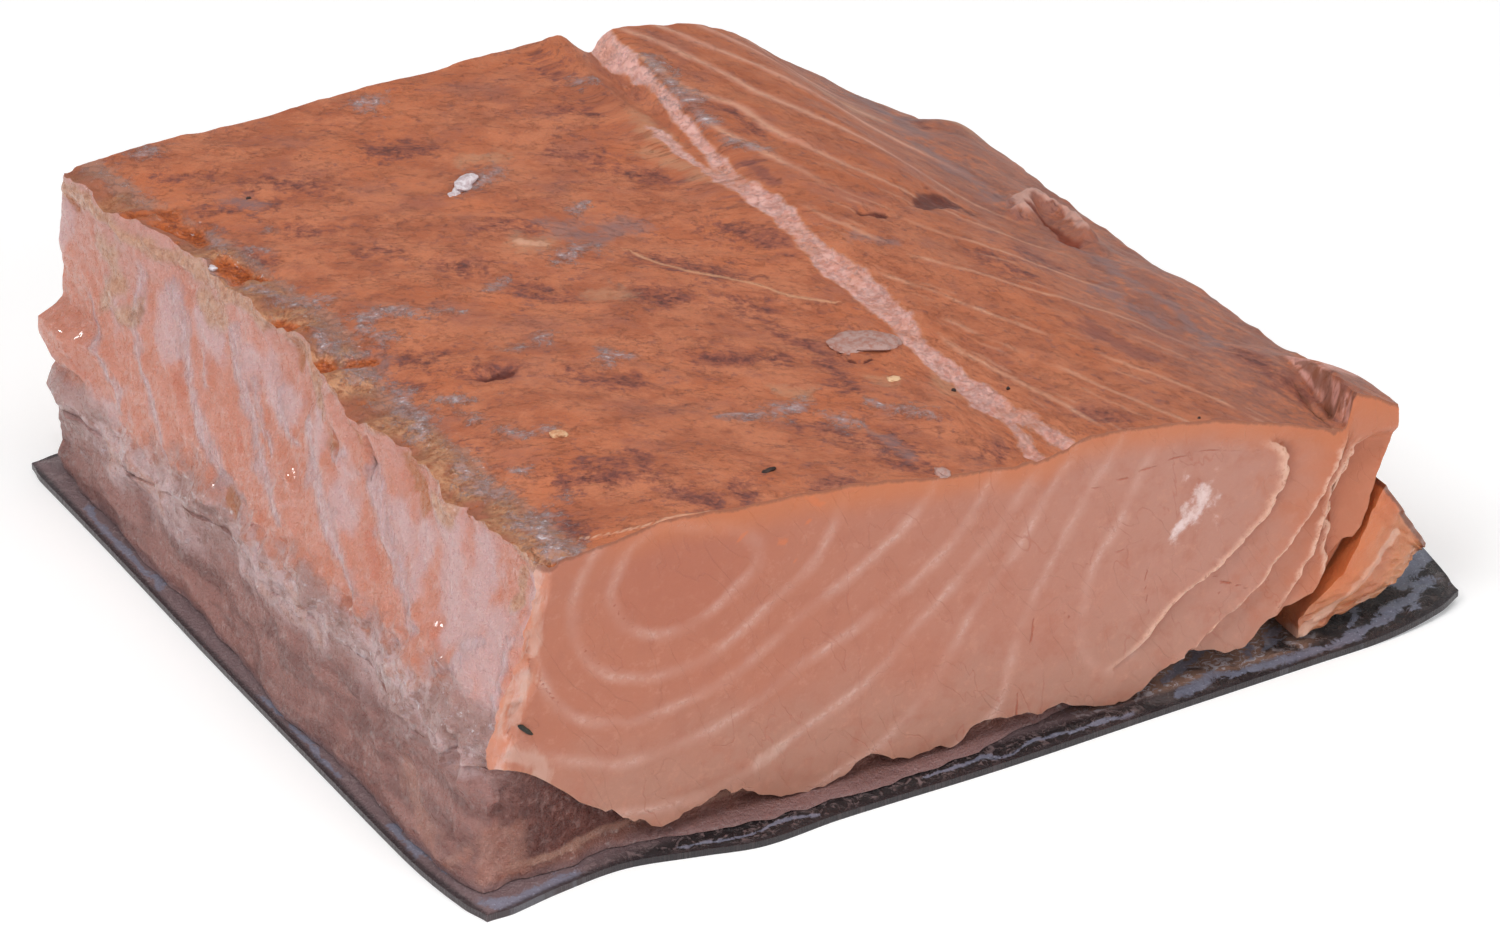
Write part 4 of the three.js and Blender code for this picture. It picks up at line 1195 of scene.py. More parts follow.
# %% Wires
class Wire:
    """A socket that answers to arithmetic by adding Math nodes."""

    def __init__(self, finish, socket):
        self.finish, self.socket = finish, socket

    def maths(self, operation, *numbers):
        return self.finish.node("ShaderNodeMath", {"operation": operation}, dict(enumerate(numbers)))

    def __add__(self, other):
        return self.maths("ADD", self, other)

    def __sub__(self, other):
        return self.maths("SUBTRACT", self, other)

    def __rsub__(self, other):
        return self.maths("SUBTRACT", other, self)

    def __mul__(self, other):
        return self.maths("MULTIPLY", self, other)

    def __truediv__(self, other):
        return self.maths("DIVIDE", self, other)

    def __abs__(self):
        return self.maths("ABSOLUTE", self)

    def most(self, other):
        return self.maths("MAXIMUM", self, other)

    def least(self, other):
        return self.maths("MINIMUM", self, other)

    def swing(self, gain):
        """Noise made to swing about 0: one half is taken off and the rest is multiplied."""
        return (self - 0.5) * gain

    __radd__, __rmul__ = __add__, __mul__


print("arithmetic on wires:", [name for name in vars(Wire) if name.startswith("__r")])


# %% Finishes
class Finish:
    """A material with a Principled shader. Constants go on the shader's own sockets."""

    def __init__(self, name, **constants):
        self.material = bpy.data.materials.new(name)
        self.material.use_nodes = True
        self.tree = self.material.node_tree
        self.shader = self.tree.nodes["Principled BSDF"]
        for socket, value in constants.items():
            self.shader.inputs[socket.replace("_", " ")].default_value = value

    def node(self, kind, settings=None, values=None, output=0):
        """Adds a node: settings first, then a value or a link for each named socket."""
        made = self.tree.nodes.new(kind)
        for name, value in (settings or {}).items():
            setattr(made, name, value)
        for name, value in (values or {}).items():
            if isinstance(value, Wire):
                self.tree.links.new(value.socket, made.inputs[name])
            else:
                made.inputs[name].default_value = value
        return Wire(self, made.outputs[output])

    def to(self, socket, wire):
        """Links a wire to a socket of the shader."""
        self.tree.links.new(wire.socket, self.shader.inputs[socket])

    def painted(self, name):
        """The number that a mesh stores under a name."""
        return self.node("ShaderNodeAttribute", {"attribute_name": name}, output=2)

    def place(self, stretch=(1.0, 1.0, 1.0), turn=(0.0, 0.0, 0.0), painted=None):
        """Object coordinates (or a stored place) in mm, turned by degrees, then squeezed by `stretch`."""
        if painted:
            source = self.node("ShaderNodeAttribute", {"attribute_name": painted}, output=1)
        else:
            metres = self.node("ShaderNodeTexCoord", output=3)
            sockets = {0: metres, "Scale": 1 / MM}
            source = self.node("ShaderNodeVectorMath", {"operation": "SCALE"}, sockets)
        spin = tuple(math.radians(angle) for angle in turn)
        turned = self.node("ShaderNodeMapping", {}, {"Vector": source, "Rotation": spin})
        return self.node("ShaderNodeMapping", {}, {"Vector": turned, "Scale": stretch})

    def noise(self, size, detail=2.0, place=None, warp=0.0, rough=0.5):
        """Noise from 0 to 1 with blobs about `size` mm across."""
        sockets = {"Vector": place or self.place(), "Scale": 1 / size, "Detail": detail,
                   "Distortion": warp, "Roughness": rough}
        return self.node("ShaderNodeTexNoise", {}, sockets)

    def cells(self, size, place, jitter):
        """Distance inside random cells about `size` mm across, from 0 at a cell's heart."""
        sockets = {"Vector": place, "Scale": 1 / size, "Randomness": jitter}
        return self.node("ShaderNodeTexVoronoi", {"feature": "F1"}, sockets)

    def step(self, start, end, wire):
        """An eased step from 0 at start to 1 at end."""
        sockets = {"Value": wire, "From Min": start, "From Max": end}
        return self.node("ShaderNodeMapRange", {"interpolation_type": "SMOOTHSTEP"}, sockets)

    def fall(self, start, end, wire):
        """An eased step down, from 1 at start to 0 at end."""
        return 1 - self.step(start, end, wire)

    def hair(self, noise, width):
        """Thin wandering lines: 1 where a noise passes one half and 0 farther than `width` from it."""
        return self.fall(0.0, width, abs(noise - 0.5))

    def torn(self, wire, noise, start, end, gain):
        """A mask from 0 at start to 1 at end, whose edge is broken up by noise."""
        return self.step(start, end, wire + noise.swing(gain))

    def patch(self, name, noise, start, end, gain):
        """A painted mark with a torn edge."""
        return self.torn(self.painted(name), noise, start, end, gain)

    def blend(self, first, second, mask):
        """The first colour where the mask is 0 and the second where it is 1. Each is a wire, or three
        numbers for `shade`."""
        pair = [colour if isinstance(colour, Wire) else shade(*colour) for colour in (first, second)]
        sockets = {0: mask, 6: pair[0], 7: pair[1]}
        return self.node("ShaderNodeMix", {"data_type": "RGBA"}, sockets, output=2)

    def coats(self, base, *coats):
        """Lays coats over a base colour in turn. Each coat is a colour and the mask that shows it."""
        for colour, mask in coats:
            base = self.blend(base, colour, mask)
        return base

    def bump(self, height, depth_mm, strength=1.0):
        """Turns a height from 0 to 1 into relief `depth_mm` deep."""
        sockets = {"Height": height, "Distance": depth_mm * MM, "Strength": strength}
        self.to("Normal", self.node("ShaderNodeBump", {}, sockets))


def wear(piece, *finishes):
    """Gives a piece its finishes, in the order of its material numbers."""
    for finish in finishes:
        piece.data.materials.append(finish.material)
        print(f"{piece.name} wears {finish.material.name}, made of {len(finish.tree.nodes)} nodes")


print("parts of a finish:", [name for name in vars(Finish) if not name.startswith("_")])

# %% [markdown]
# ## Pale seams, for any finish
#
# A mesh stores a number that is whole at each seam. How far it is from a whole one, times the millimetres
# from one seam to the next, is the distance to the seam, so its line stays equally wide where the rings
# crowd together. Two sizes of noise make the line wander.


# %% Seam lines
def seam_lines(finish, seams, gap, width):
    """Masks for a soft pale seam and its bright heart, from the seam number and the gap to the next."""
    wobble = finish.noise(2.8, 3.0).swing(1.0) + finish.noise(0.9, 2.0).swing(0.4)
    number = seams + wobble / gap
    offset = number.maths("WRAP", number, 0.5, -0.5)
    distance = abs(offset * gap)
    soft = finish.fall(0.0, width, distance)
    broken = finish.step(0.42, 0.62, finish.noise(1.1, 3.0, rough=0.8))
    heart = finish.fall(0.0, width * 0.45, distance) * broken
    return soft, heart * finish.step(0.4, 0.6, finish.noise(9.0, 1.0))


MUSCLE = {"Subsurface_Radius": (0.0024, 0.0009, 0.0005), "Subsurface_Scale": 1.0}
print("light wanders", MUSCLE["Subsurface_Radius"][0] / MM, "mm through bare muscle")

# %% [markdown]
# ## The smoked top
#
# Smoke and salt have dried the top to a thin orange-brown hide. Fibres run through it as fine darker
# streaks and dull purple patches lie along them, so most of the noises are stretched along the fibres.

# %% Noises of the smoked top
smoked = Finish("smoked_top", Subsurface_Weight=0.08, Specular_IOR_Level=0.45,
                Subsurface_Radius=(0.0016, 0.0006, 0.0003), Subsurface_Scale=1.0)
long_place, fibre_place, patch_place = (
    smoked.place((1.0, stretch, 1.0), painted="grain") for stretch in (0.4, 0.6, 0.75))
ragged = smoked.noise(1.4, 9.0, patch_place, warp=0.2, rough=0.74)
feather = smoked.noise(0.7, 7.0, fibre_place, rough=0.8)
streaks = smoked.noise(2.4, 8.0, fibre_place, warp=0.2, rough=0.74)
patches = smoked.noise(6.5, 9.0, patch_place, warp=0.2, rough=0.7)
clouds = smoked.noise(17.0, 4.0, patch_place)
lip_noise = smoked.noise(2.4, 6.0, rough=0.74)
hairs = smoked.hair(smoked.noise(4.5, 9.0, long_place, rough=0.72), 0.008)
threads = smoked.hair(smoked.noise(1.7, 6.0, fibre_place, warp=0.4, rough=0.7), 0.016)
print("nodes for the noises:", len(smoked.tree.nodes))

# %% The hide, its fibres and its dark patches
right_field = smoked.painted("right_field")
# Greyer streaks on the steep right slope: partly the hide's own, partly painted shade of the slope.
slope = smoked.painted("slope") * smoked.step(0.3, 0.6, ragged + patches * 0.4 - 0.2)
lilac = smoked.step(0.5, 0.66, smoked.noise(10.0, 8.0, patch_place, rough=0.68))
murk = smoked.painted("top_dark") * 0.66 + patches.swing(1.6) + ragged.swing(2.6) + feather.swing(2.0)
dots = smoked.step(0.5, 0.72, smoked.noise(0.3, 3.0, rough=0.8))
wisps = smoked.step(0.5, 0.6, smoked.noise(4.0, 8.0, patch_place, rough=0.76))
hide = smoked.coats(
    (199, 120, 84),
    ((175, 97, 64), smoked.step(0.4, 0.6, patches)),
    ((196, 108, 66), smoked.step(0.46, 0.66, clouds) * 0.6),
    ((212, 142, 106), smoked.step(0.52, 0.68, feather) * 0.4),
    ((150, 82, 58), smoked.step(0.52, 0.68, streaks) * 0.5),
    ((176, 98, 62), right_field * 0.25),
    ((142, 98, 88), slope * 0.75),
    ((120, 66, 56), hairs * smoked.step(0.45, 0.6, ragged) * 0.5),
    ((162, 98, 80), lilac * 0.6),
    ((126, 70, 56), threads * smoked.step(0.42, 0.6, ragged) * 0.6),
    ((140, 76, 61), smoked.step(0.2, 0.8, murk) * 0.85),
    ((94, 48, 46), smoked.step(0.6, 1.1, murk) * 0.85),
    ((134, 78, 56), dots * 0.3),
    ((130, 80, 74), smoked.step(0.5, 0.6, ragged) * wisps * 0.6),
)
print("nodes with the hide:", len(smoked.tree.nodes))

# %% [markdown]
# Near the left edge the hide turns into a yellowish crust with amber, and farther in lie hazy grey and
# tan places.

# %% The lip and the hazy places
lip_near, lip_strip = smoked.painted("lip_near"), smoked.painted("lip_strip")
lip_amber = smoked.step(0.56, 0.66, smoked.noise(3.3, 6.0, rough=0.7)) * smoked.step(0.35, 0.8, lip_near)
haze = smoked.step(0.2, 1.0, smoked.painted("top_grey") * 0.9 + ragged.swing(1.8) + feather.swing(1.4))
hide = smoked.coats(
    hide,
    ((146, 90, 70), smoked.torn(lip_near, ragged, 0.3, 0.9, 1.4) * 0.6),
    ((174, 134, 118), smoked.torn(lip_strip, lip_noise, 0.5, 0.9, 2.0) * 0.5),
    ((184, 98, 44), lip_amber * 0.65),
    ((142, 110, 108), haze * 0.68),
    ((196, 142, 110), smoked.patch("top_tan", ragged, 0.3, 1.1, 2.2) * 0.6),
)
print("nodes with the lip:", len(smoked.tree.nodes))

# %% [markdown]
# Right of the backbone the muscle rings reach the surface as thin pale lines, broader towards the far
# cut. A second family at twice the number gives the faint lines between them. One dry crack crosses the
# middle of the top: it has a pale rim, and its gap is a thin line of painted shadow.

# %% Pale lines and the dry crack
top_seams, top_gap = smoked.painted("top_seams"), smoked.painted("top_seam_gap")
soft, heart = seam_lines(smoked, top_seams, top_gap, 0.75)
twice, _ = seam_lines(smoked, top_seams * 2.0 + 0.35, top_gap * 0.5, 0.5)
wide, _ = seam_lines(smoked, top_seams, top_gap, 1.5)
on_right = right_field * smoked.step(0.36, 0.5, smoked.noise(12.0, 2.0))
back_field = smoked.painted("back_field")
line = smoked.patch("top_pale", ragged, 0.3, 0.8, 0.8).most((soft * 0.55 + heart * 0.45) * on_right)
stretches = smoked.step(0.5, 0.62, smoked.noise(8.0, 2.0))
line = line.most(twice * (right_field - back_field) * stretches * 0.35)
crack_away, crack_near = smoked.painted("crack") + ragged.swing(1.1), smoked.painted("crack_near")
crack_rim = smoked.hair(crack_away * 0.5 + 0.5, 0.3) * smoked.step(0.3, 0.9, crack_near)
# The dark line in the crack's gap is painted shadow.
crack_shadow_line = smoked.hair(crack_away * 0.5 + 0.42, 0.07) * smoked.step(0.6, 0.9, crack_near)
hide = smoked.coats(
    hide,
    ((216, 152, 128), wide * back_field * smoked.step(0.3, 0.5, ragged) * 0.75),
    ((217, 161, 132), line * 0.85),
    ((216, 158, 122), crack_rim * 0.8),
    ((112, 54, 34), crack_shadow_line * smoked.step(0.5, 0.6, feather) * 0.8),
)
print("nodes with the lines:", len(smoked.tree.nodes))

# %% [markdown]
# Where the backbone was pulled out, a strip of moist pink flesh shows, torn at both edges and framed by
# brighter orange. The crust of the left side comes a little way over the edge.

# %% The strip of the backbone and the crust
strip_noise = smoked.noise(1.2, 4.0, rough=0.7)
flesh_strip = smoked.coats(
    (212, 148, 134),
    ((230, 180, 170), smoked.step(0.36, 0.62, strip_noise)),
    ((244, 190, 180), smoked.painted("ribbon_back") * 0.7),
    ((196, 120, 90), smoked.step(0.54, 0.66, streaks) * 0.5),
)
strip = smoked.patch("ribbon", ragged, 0.25, 0.8, 1.2)
strip_halo = smoked.torn(smoked.painted("ribbon") * 1.7, ragged, 0.2, 0.9, 1.4)
shown = smoked.step(0.32, 0.56, smoked.noise(6.0, 3.0)) * 0.4 + 0.58
crust = smoked.torn(smoked.painted("side_crust") * 1.2, smoked.noise(1.0, 6.0, rough=0.75), 0.3, 0.9, 1.2)
crust_shade = smoked.coats(
    (204, 148, 110),
    ((156, 90, 56), smoked.step(0.38, 0.64, smoked.noise(1.0, 6.0, rough=0.74))),
    ((208, 174, 146), smoked.step(0.55, 0.7, feather) * 0.7),
)
hide = smoked.coats(
    hide,
    ((204, 124, 76), strip_halo * 0.6),
    (flesh_strip, strip * shown),
    ((128, 72, 66), smoked.patch("top_oval", ragged, 0.35, 0.9, 2.0) * 0.6),
    (crust_shade, crust * 0.9),
)
print("nodes with the strip:", len(smoked.tree.nodes))

# %% [markdown]
# Dry protein sits on the hide as a bloom: a thin lilac veil, greyer tufts inside it, white hearts where
# it is thickest, and white veins.

# %% Bloom
bloom, spread = smoked.painted("top_bloom"), smoked.painted("bloom_wide")
wild = ragged.swing(1.6) + feather.swing(1.5)
tuft = smoked.step(0.5, 0.95, spread * 0.9 - 0.1 + wild)
vein_zone = smoked.step(0.15, 0.6, spread).most(lip_strip * 0.7).most(strip * 0.5)
veins = smoked.hair(smoked.noise(2.2, 6.0, rough=0.7), 0.022) * vein_zone
hide = smoked.coats(
    hide,
    ((150, 108, 98), smoked.step(0.3, 1.0, spread * 0.9 + wild) * 0.6),
    ((176, 148, 148), tuft * 0.6),
    ((222, 210, 216), smoked.step(0.7, 0.95, bloom * 0.7 - 0.05 + wild * 1.2) * 0.85),
    ((224, 208, 212), veins * smoked.step(0.4, 0.6, ragged) * 0.75),
)
print("nodes with the bloom:", len(smoked.tree.nodes))

# %% [markdown]
# Last come the small marks: amber pits, maroon pits where the hide has burst, the pale broken face of
# the slab, the raised flap with its hollow darkened by painted shade, dark specks, and white specks
# along the lip that are painted glints.

# %% Pits, slab, flap and gloss
pit = smoked.torn(smoked.painted("top_amber") * 1.2, ragged, 0.3, 1.1, 1.2)
pit_shade = smoked.blend((196, 100, 44), (120, 44, 16), smoked.step(0.8, 1.25, pit + feather.swing(1.6)))
maroon_shade = smoked.blend((92, 38, 30), (128, 62, 44), smoked.step(0.5, 0.6, feather))
slab_shade = smoked.blend((216, 158, 146), (190, 116, 88), smoked.step(0.45, 0.6, ragged))
hide = smoked.coats(
    hide,
    (pit_shade, pit),
    (maroon_shade, smoked.patch("top_maroon", ragged, 0.35, 0.7, 0.7) * 0.92),
    (slab_shade, smoked.patch("slab_face", feather, 0.2, 0.6, 0.6) * 0.9),
    ((122, 72, 50), smoked.patch("top_crack", ragged, 0.4, 0.8, 0.6) * 0.7),
    ((208, 160, 146), smoked.patch("top_flap", ragged, 0.35, 0.75, 0.5) * 0.9),
    # The hollow under the flap is red flesh darkened with painted shade.
    ((128, 54, 30), smoked.step(0.35, 0.8, smoked.painted("top_cavity")) * 0.95),
    ((84, 54, 50), smoked.step(0.72, 0.76, smoked.noise(0.5, 3.0, rough=0.8)) * 0.4),
    # White specks along the lip strip are painted glints of the wet crust.
    ((226, 212, 214), smoked.step(0.66, 0.7, smoked.noise(0.8, 3.0, rough=0.7)) * lip_strip * 0.7),
)
smoked.to("Base Color", hide)
wet = pit.most(strip * 0.7).most(lip_amber * 0.6)
smoked.to("Roughness", 0.5 - wet * 0.28 - tuft * 0.1 - lip_near * 0.14 + streaks.swing(0.25))
relief = streaks * 0.3 + ragged * 0.4 + feather * 0.25 - hairs * 0.1 + line * 0.2
relief = relief + veins * 0.3 + strip * strip_noise * 0.25
smoked.bump(relief + crust * smoked.noise(0.9, 3.0) * 0.7, 0.5, 0.85)
print("nodes in the smoked top:", len(smoked.tree.nodes))

# %% [markdown]
# ## Cut flesh
#
# The cut is smooth and moist: peach near the back, pinker towards the belly, and bright orange for the
# few millimetres below the smoked hide. Seams are fuzzy pale lines about a millimetre wide, with a few
# thin rust-red cracks beside them. Towards the belly each torn flake has a pale rim and a shadow behind.

# %% Muscle and its seams
cut = Finish("cut_flesh", Subsurface_Weight=0.18, Specular_IOR_Level=0.45, Coat_Roughness=0.15, **MUSCLE)
across_mm = cut.node("ShaderNodeSeparateXYZ", {}, {0: cut.place()}) - (BACKBONE_X + corner[0])
soft_patches = cut.noise(9.0, 3.0)
grit = cut.noise(0.7, 4.0, rough=0.75)
cloud = cut.noise(3.4, 4.0, rough=0.6)
fine = cut.noise(1.6, 5.0, rough=0.7)
depth, seams, corner_line = cut.painted("depth"), cut.painted("seams"), cut.painted("corner_line")
soft, heart = seam_lines(cut, seams, cut.painted("seam_gap"), 1.5)
drawn = cut.fall(14.0, 18.0, across_mm) * cut.step(0.3, 0.7, corner_line)
shown = cut.step(0.36, 0.62, cut.noise(9.0, 4.0)) * 0.65 + 0.35
crosswise = cut.place((1.0, 1.0, 0.35), turn=(0.0, 28.0, 0.0))
wrinkles = cut.hair(cut.noise(4.5, 3.0, crosswise, warp=0.6), 0.012)
band = cut.fall(0.4, 5.0, depth + soft_patches.swing(3.0)) * cut.step(-68.0, -48.0, across_mm)
muscle = cut.coats(
    (176, 107, 82),
    ((179, 125, 108), cut.step(-50.0, 30.0, across_mm + soft_patches.swing(30.0))),
    ((172, 124, 106), cut.step(20.0, 36.0, depth + soft_patches.swing(12.0)) * 0.8),
    ((168, 100, 78), cut.step(0.46, 0.7, cloud) * 0.45),
    ((198, 140, 118), cut.step(0.52, 0.72, cut.noise(1.6, 4.0, rough=0.7)) * 0.3),
    ((168, 92, 68), cut.fall(0.4, 1.6, seams + cloud.swing(0.6)) * 0.45),
    ((208, 164, 150), soft * drawn * shown * 0.38),
    ((216, 180, 168), heart * drawn * shown * 0.38),
    ((168, 96, 76), wrinkles * cut.step(0.5, 0.62, soft_patches) * 0.45),
    ((196, 112, 66), band * 0.75),
)
print("nodes with the seams:", len(cut.tree.nodes))

# %% Torn rims, the wet corner and the marks of the cut
torn_rims, shadows = 0.0, 0.0
for k in range(len(FLAKE_EDGES)):
    behind = cut.painted(f"flake_{k}") + cut.noise(0.8, 3.0, rough=0.75).swing(0.9)
    width = 2.2 if k == 0 else 1.3
    fade = cut.painted(f"flake_fade_{k}")
    torn_rims = cut.step(-width, -0.15, behind) * cut.fall(-0.05, 0.12, behind) * fade + torn_rims
    shadows = cut.step(-0.05, 0.12, behind) * cut.fall(0.2, 2.4, behind) * fade + shadows
wet_zone = cut.fall(-0.8, 0.8, corner_line + cloud.swing(2.6)) * cut.fall(40.0, 46.0, across_mm)
upright_place = cut.place((1.0, 1.0, 0.25), turn=(0.0, -14.0, 0.0))
upright = cut.noise(1.5, 5.0, upright_place, warp=0.4, rough=0.68)
wet_shade = cut.coats(
    (204, 132, 104),
    ((212, 162, 148), cut.step(0.46, 0.64, upright)),
    ((206, 128, 94), cut.step(0.54, 0.66, cloud) * 0.6),
)
rust = cut.fall(0.05, 0.24, cut.painted("cut_line") + grit.swing(0.25))
muscle = cut.coats(
    muscle,
    ((192, 108, 66), cut.step(26.0, 44.0, across_mm + cloud.swing(12.0)) * 0.65),
    ((152, 84, 62), shadows.least(1.0) * 0.6),
    ((230, 186, 164), torn_rims.least(1.0) * cut.step(0.3, 0.5, grit) * 0.85),
    (wet_shade, wet_zone * 0.9),
    ((208, 172, 158), cut.patch("cut_cream", upright, 0.3, 1.0, 2.0) * 0.45),
    ((206, 112, 66), cut.patch("cut_orange", grit, 0.3, 0.8, 0.6) * 0.6),
    ((234, 214, 212), cut.patch("cut_white", fine, 0.4, 1.1, 1.6) * 0.75),
    ((164, 72, 44), rust * 0.6),
    ((132, 78, 56), cut.fall(0.15, 0.65, depth + grit.swing(0.9)) * 0.75),
)
cut.to("Base Color", muscle)
cut.to("Roughness", 0.47 - wet_zone * 0.15 + grit.swing(0.25))
cut.to("Coat Weight", wet_zone * 0.5 + cut.step(0.55, 0.68, grit) * 0.2)
relief = grit * 0.4 + cloud * 0.25 - rust * 0.5 - wrinkles * 0.2
cut.bump(relief + heart * drawn * 0.35 + soft * drawn * 0.2, 0.35, 0.6)
print("nodes in the cut flesh:", len(cut.tree.nodes))

# %% [markdown]
# ## The torn back side
#
# Wet salmon-pink muscle shows between white sheets of tissue. Below the fin line the flesh turns grey and
# beige with fat, and at the top hangs the yellow crust. The fat runs on over the dark meat, so the part
# below the fin line is a function that both finishes use.


# %% Below the fin line, for any finish
def low_side(finish, fin):
    """Colour of the torn side below the fin line: a ragged band of lilac-grey fat, then mauve-brown
    threads that run along the fish. Also its relief, and the height over the line made ragged."""
    along_fish = finish.place((1.0, 0.22, 1.0), turn=(5.0, 0.0, 0.0))
    lumps = finish.noise(2.6, 6.0, rough=0.7)
    wide = finish.noise(5.5, 5.0, finish.place((1.0, 0.45, 1.0), turn=(-14.0, 0.0, 0.0)), warp=0.5)
    fibres = finish.noise(0.9, 5.0, along_fish, warp=0.4, rough=0.7)
    strands = finish.noise(3.0, 4.0, along_fish, warp=0.4)
    mauve = finish.coats(
        (160, 110, 102),
        ((130, 86, 80), finish.step(0.38, 0.64, strands)),
        ((108, 68, 62), finish.step(0.54, 0.7, fibres) * 0.55),
        ((180, 134, 122), finish.step(0.56, 0.7, lumps) * 0.4),
    )
    fat = finish.coats(
        (172, 132, 126),
        ((202, 168, 168), finish.step(0.44, 0.6, wide)),
        ((142, 98, 88), finish.step(0.5, 0.62, lumps) * 0.7),
        ((190, 136, 116), finish.step(0.56, 0.66, wide) * finish.step(0.4, 0.5, lumps) * 0.5),
        ((204, 184, 190), finish.step(0.56, 0.68, fibres) * 0.7),
        # White specks on the fat are painted glints of its wet surface.
        ((232, 222, 228), finish.step(0.66, 0.7, finish.noise(1.1, 3.0, rough=0.7)) * 0.7),
    )
    ragged_fin = fin + lumps.swing(9.0) + wide.swing(12.0)
    shown = finish.blend(mauve, fat, finish.step(-11.0, -5.0, ragged_fin))
    return shown, lumps * 0.5 + fibres * 0.3 + wide * 0.4, ragged_fin


# %% Back side
back = Finish("back_side", Subsurface_Weight=0.18, Specular_IOR_Level=0.6, Coat_Roughness=0.1, **MUSCLE)
slope_place = back.place((1.0, 1.0, 0.22), turn=(32.0, 0.0, 0.0))
cross_place = back.place((1.0, 1.0, 0.25), turn=(-58.0, 0.0, 0.0))
threads = back.noise(0.8, 5.0, slope_place, warp=0.4, rough=0.72)
creases = back.noise(1.1, 5.0, cross_place, warp=0.4, rough=0.68)
broad = back.noise(4.0, 5.0, slope_place, warp=0.3)
blotch = back.noise(2.6, 5.0, rough=0.65)
glints = back.noise(0.9, 4.0, rough=0.75)
height = back.painted("fin_line")
fatty, low_relief, ragged_fin = low_side(back, height)
below = back.fall(-2.5, 3.0, ragged_fin)
sheet = back.patch("side_sheet", threads, 0.45, 1.3, 1.4)
side_crust = back.painted("side_crust")
grains = back.step(0.4, 0.66, back.noise(1.0, 6.0, rough=0.74))
crust_shade = back.blend((204, 154, 124), (164, 104, 70), grains)
wall = back.coats(
    (206, 136, 116),
    ((200, 124, 99), back.step(0.38, 0.66, blotch)),
    ((214, 154, 142), back.step(0.5, 0.7, creases) * 0.5),
    ((196, 106, 78), back.patch("side_red", blotch, 0.3, 0.8, 0.8) * 0.5),
    ((198, 152, 146), back.step(12.0, 28.0, height + broad.swing(22.0)) * 0.55),
    ((206, 172, 174), back.patch("side_veil", broad, 0.1, 1.0, 1.3) * 0.7),
    ((208, 160, 156), back.torn(back.painted("side_sheet") * 1.4, broad, 0.2, 1.4, 1.2) * 0.5),
    ((216, 186, 190), sheet * 0.75),
    (fatty, below),
    ((182, 146, 136), back.torn(side_crust * 1.6, broad, 0.35, 1.3, 0.8) * 0.5),
    (crust_shade, back.torn(side_crust * 1.1, back.noise(1.0, 6.0, rough=0.75), 0.35, 1.0, 1.0) * 0.8),
    ((178, 108, 62), back.patch("side_amber", blotch, 0.3, 0.8, 0.7) * 0.75),
    # The slits are painted dark brown: painted shade inside them.
    ((92, 54, 42), back.step(0.4, 0.85, back.painted("side_slit")) * 0.85),
)
back.to("Base Color", wall)
back.to("Roughness", 0.3 - sheet * 0.05 + glints.swing(0.4))
back.to("Coat Weight", back.step(0.48, 0.6, glints) * 0.9)
relief = threads * 0.3 + creases * 0.3 + blotch * 0.25 + glints * 0.4
back.bump(relief + below * low_relief * 1.2 + sheet * 0.3, 0.9, 1.0)
print("nodes in the back side:", len(back.tree.nodes))

# %% [markdown]
# ## The belly end
#
# The far right end shows the flakes from the side: long leaning leaves of muscle with pale seams. With
# it the block has all four finishes, and each side of the lattice gets one of them.

# %% Belly end, and the finish of each side
END_SEAM_GAP = 6.7
end = Finish("belly_end", Subsurface_Weight=0.18, Specular_IOR_Level=0.5, **MUSCLE)
grit, patches, depth = end.noise(0.8, 4.0, rough=0.7), end.noise(7.0, 3.0), end.painted("depth")
soft, heart = seam_lines(end, end.painted("belly_seams"), END_SEAM_GAP, 1.3)
leaf = end.coats(
    (194, 130, 106),
    ((182, 118, 98), end.step(0.35, 0.7, patches)),
    ((206, 148, 124), end.step(0.5, 0.7, end.noise(1.8, 4.0)) * 0.4),
    ((212, 164, 148), soft * 0.6 + heart * 0.3),
    ((200, 124, 82), end.fall(1.0, 5.0, depth + patches.swing(3.0)) * 0.85),
    ((136, 82, 58), end.fall(0.3, 0.8, depth) * 0.8),
)
end.to("Base Color", leaf)
end.to("Roughness", 0.44 + grit.swing(0.25))
end.bump(grit * 0.6 + end.noise(2.4, 3.0) * 0.4, 0.5, 0.6)
wear(flesh, smoked, cut, back, end)
FINISH_OF_SIDE = {"top": 0, "under": 1, "near": 1, "far": 1, "right": 3, "left": 2}
finish_number = np.array([FINISH_OF_SIDE[side] for side in SIDES])
flesh.data.polygons.foreach_set("material_index", finish_number[flesh_sides])

# %% [markdown]
# ## Dark meat
#
# Dark muscle is brown with a mauve cast and frays along the fish. At the near cut it is a smooth brown
# panel with a pale strip just over the skin. The panel lies under the overhang of the flesh, so its own
# dark brown is deepened there with painted shade.

# %% Dark meat's finish
brown = Finish("dark_muscle", Subsurface_Weight=0.12, Subsurface_Radius=(0.0016, 0.0007, 0.0005),
               Subsurface_Scale=1.0, Specular_IOR_Level=0.55, Coat_Roughness=0.15)
blotch, glints = brown.noise(1.6, 5.0, rough=0.7), brown.noise(0.8, 4.0, rough=0.75)
side_shade, side_relief, _ = low_side(brown, brown.painted("fin_line"))
level = brown.painted("height") + blotch.swing(1.4)
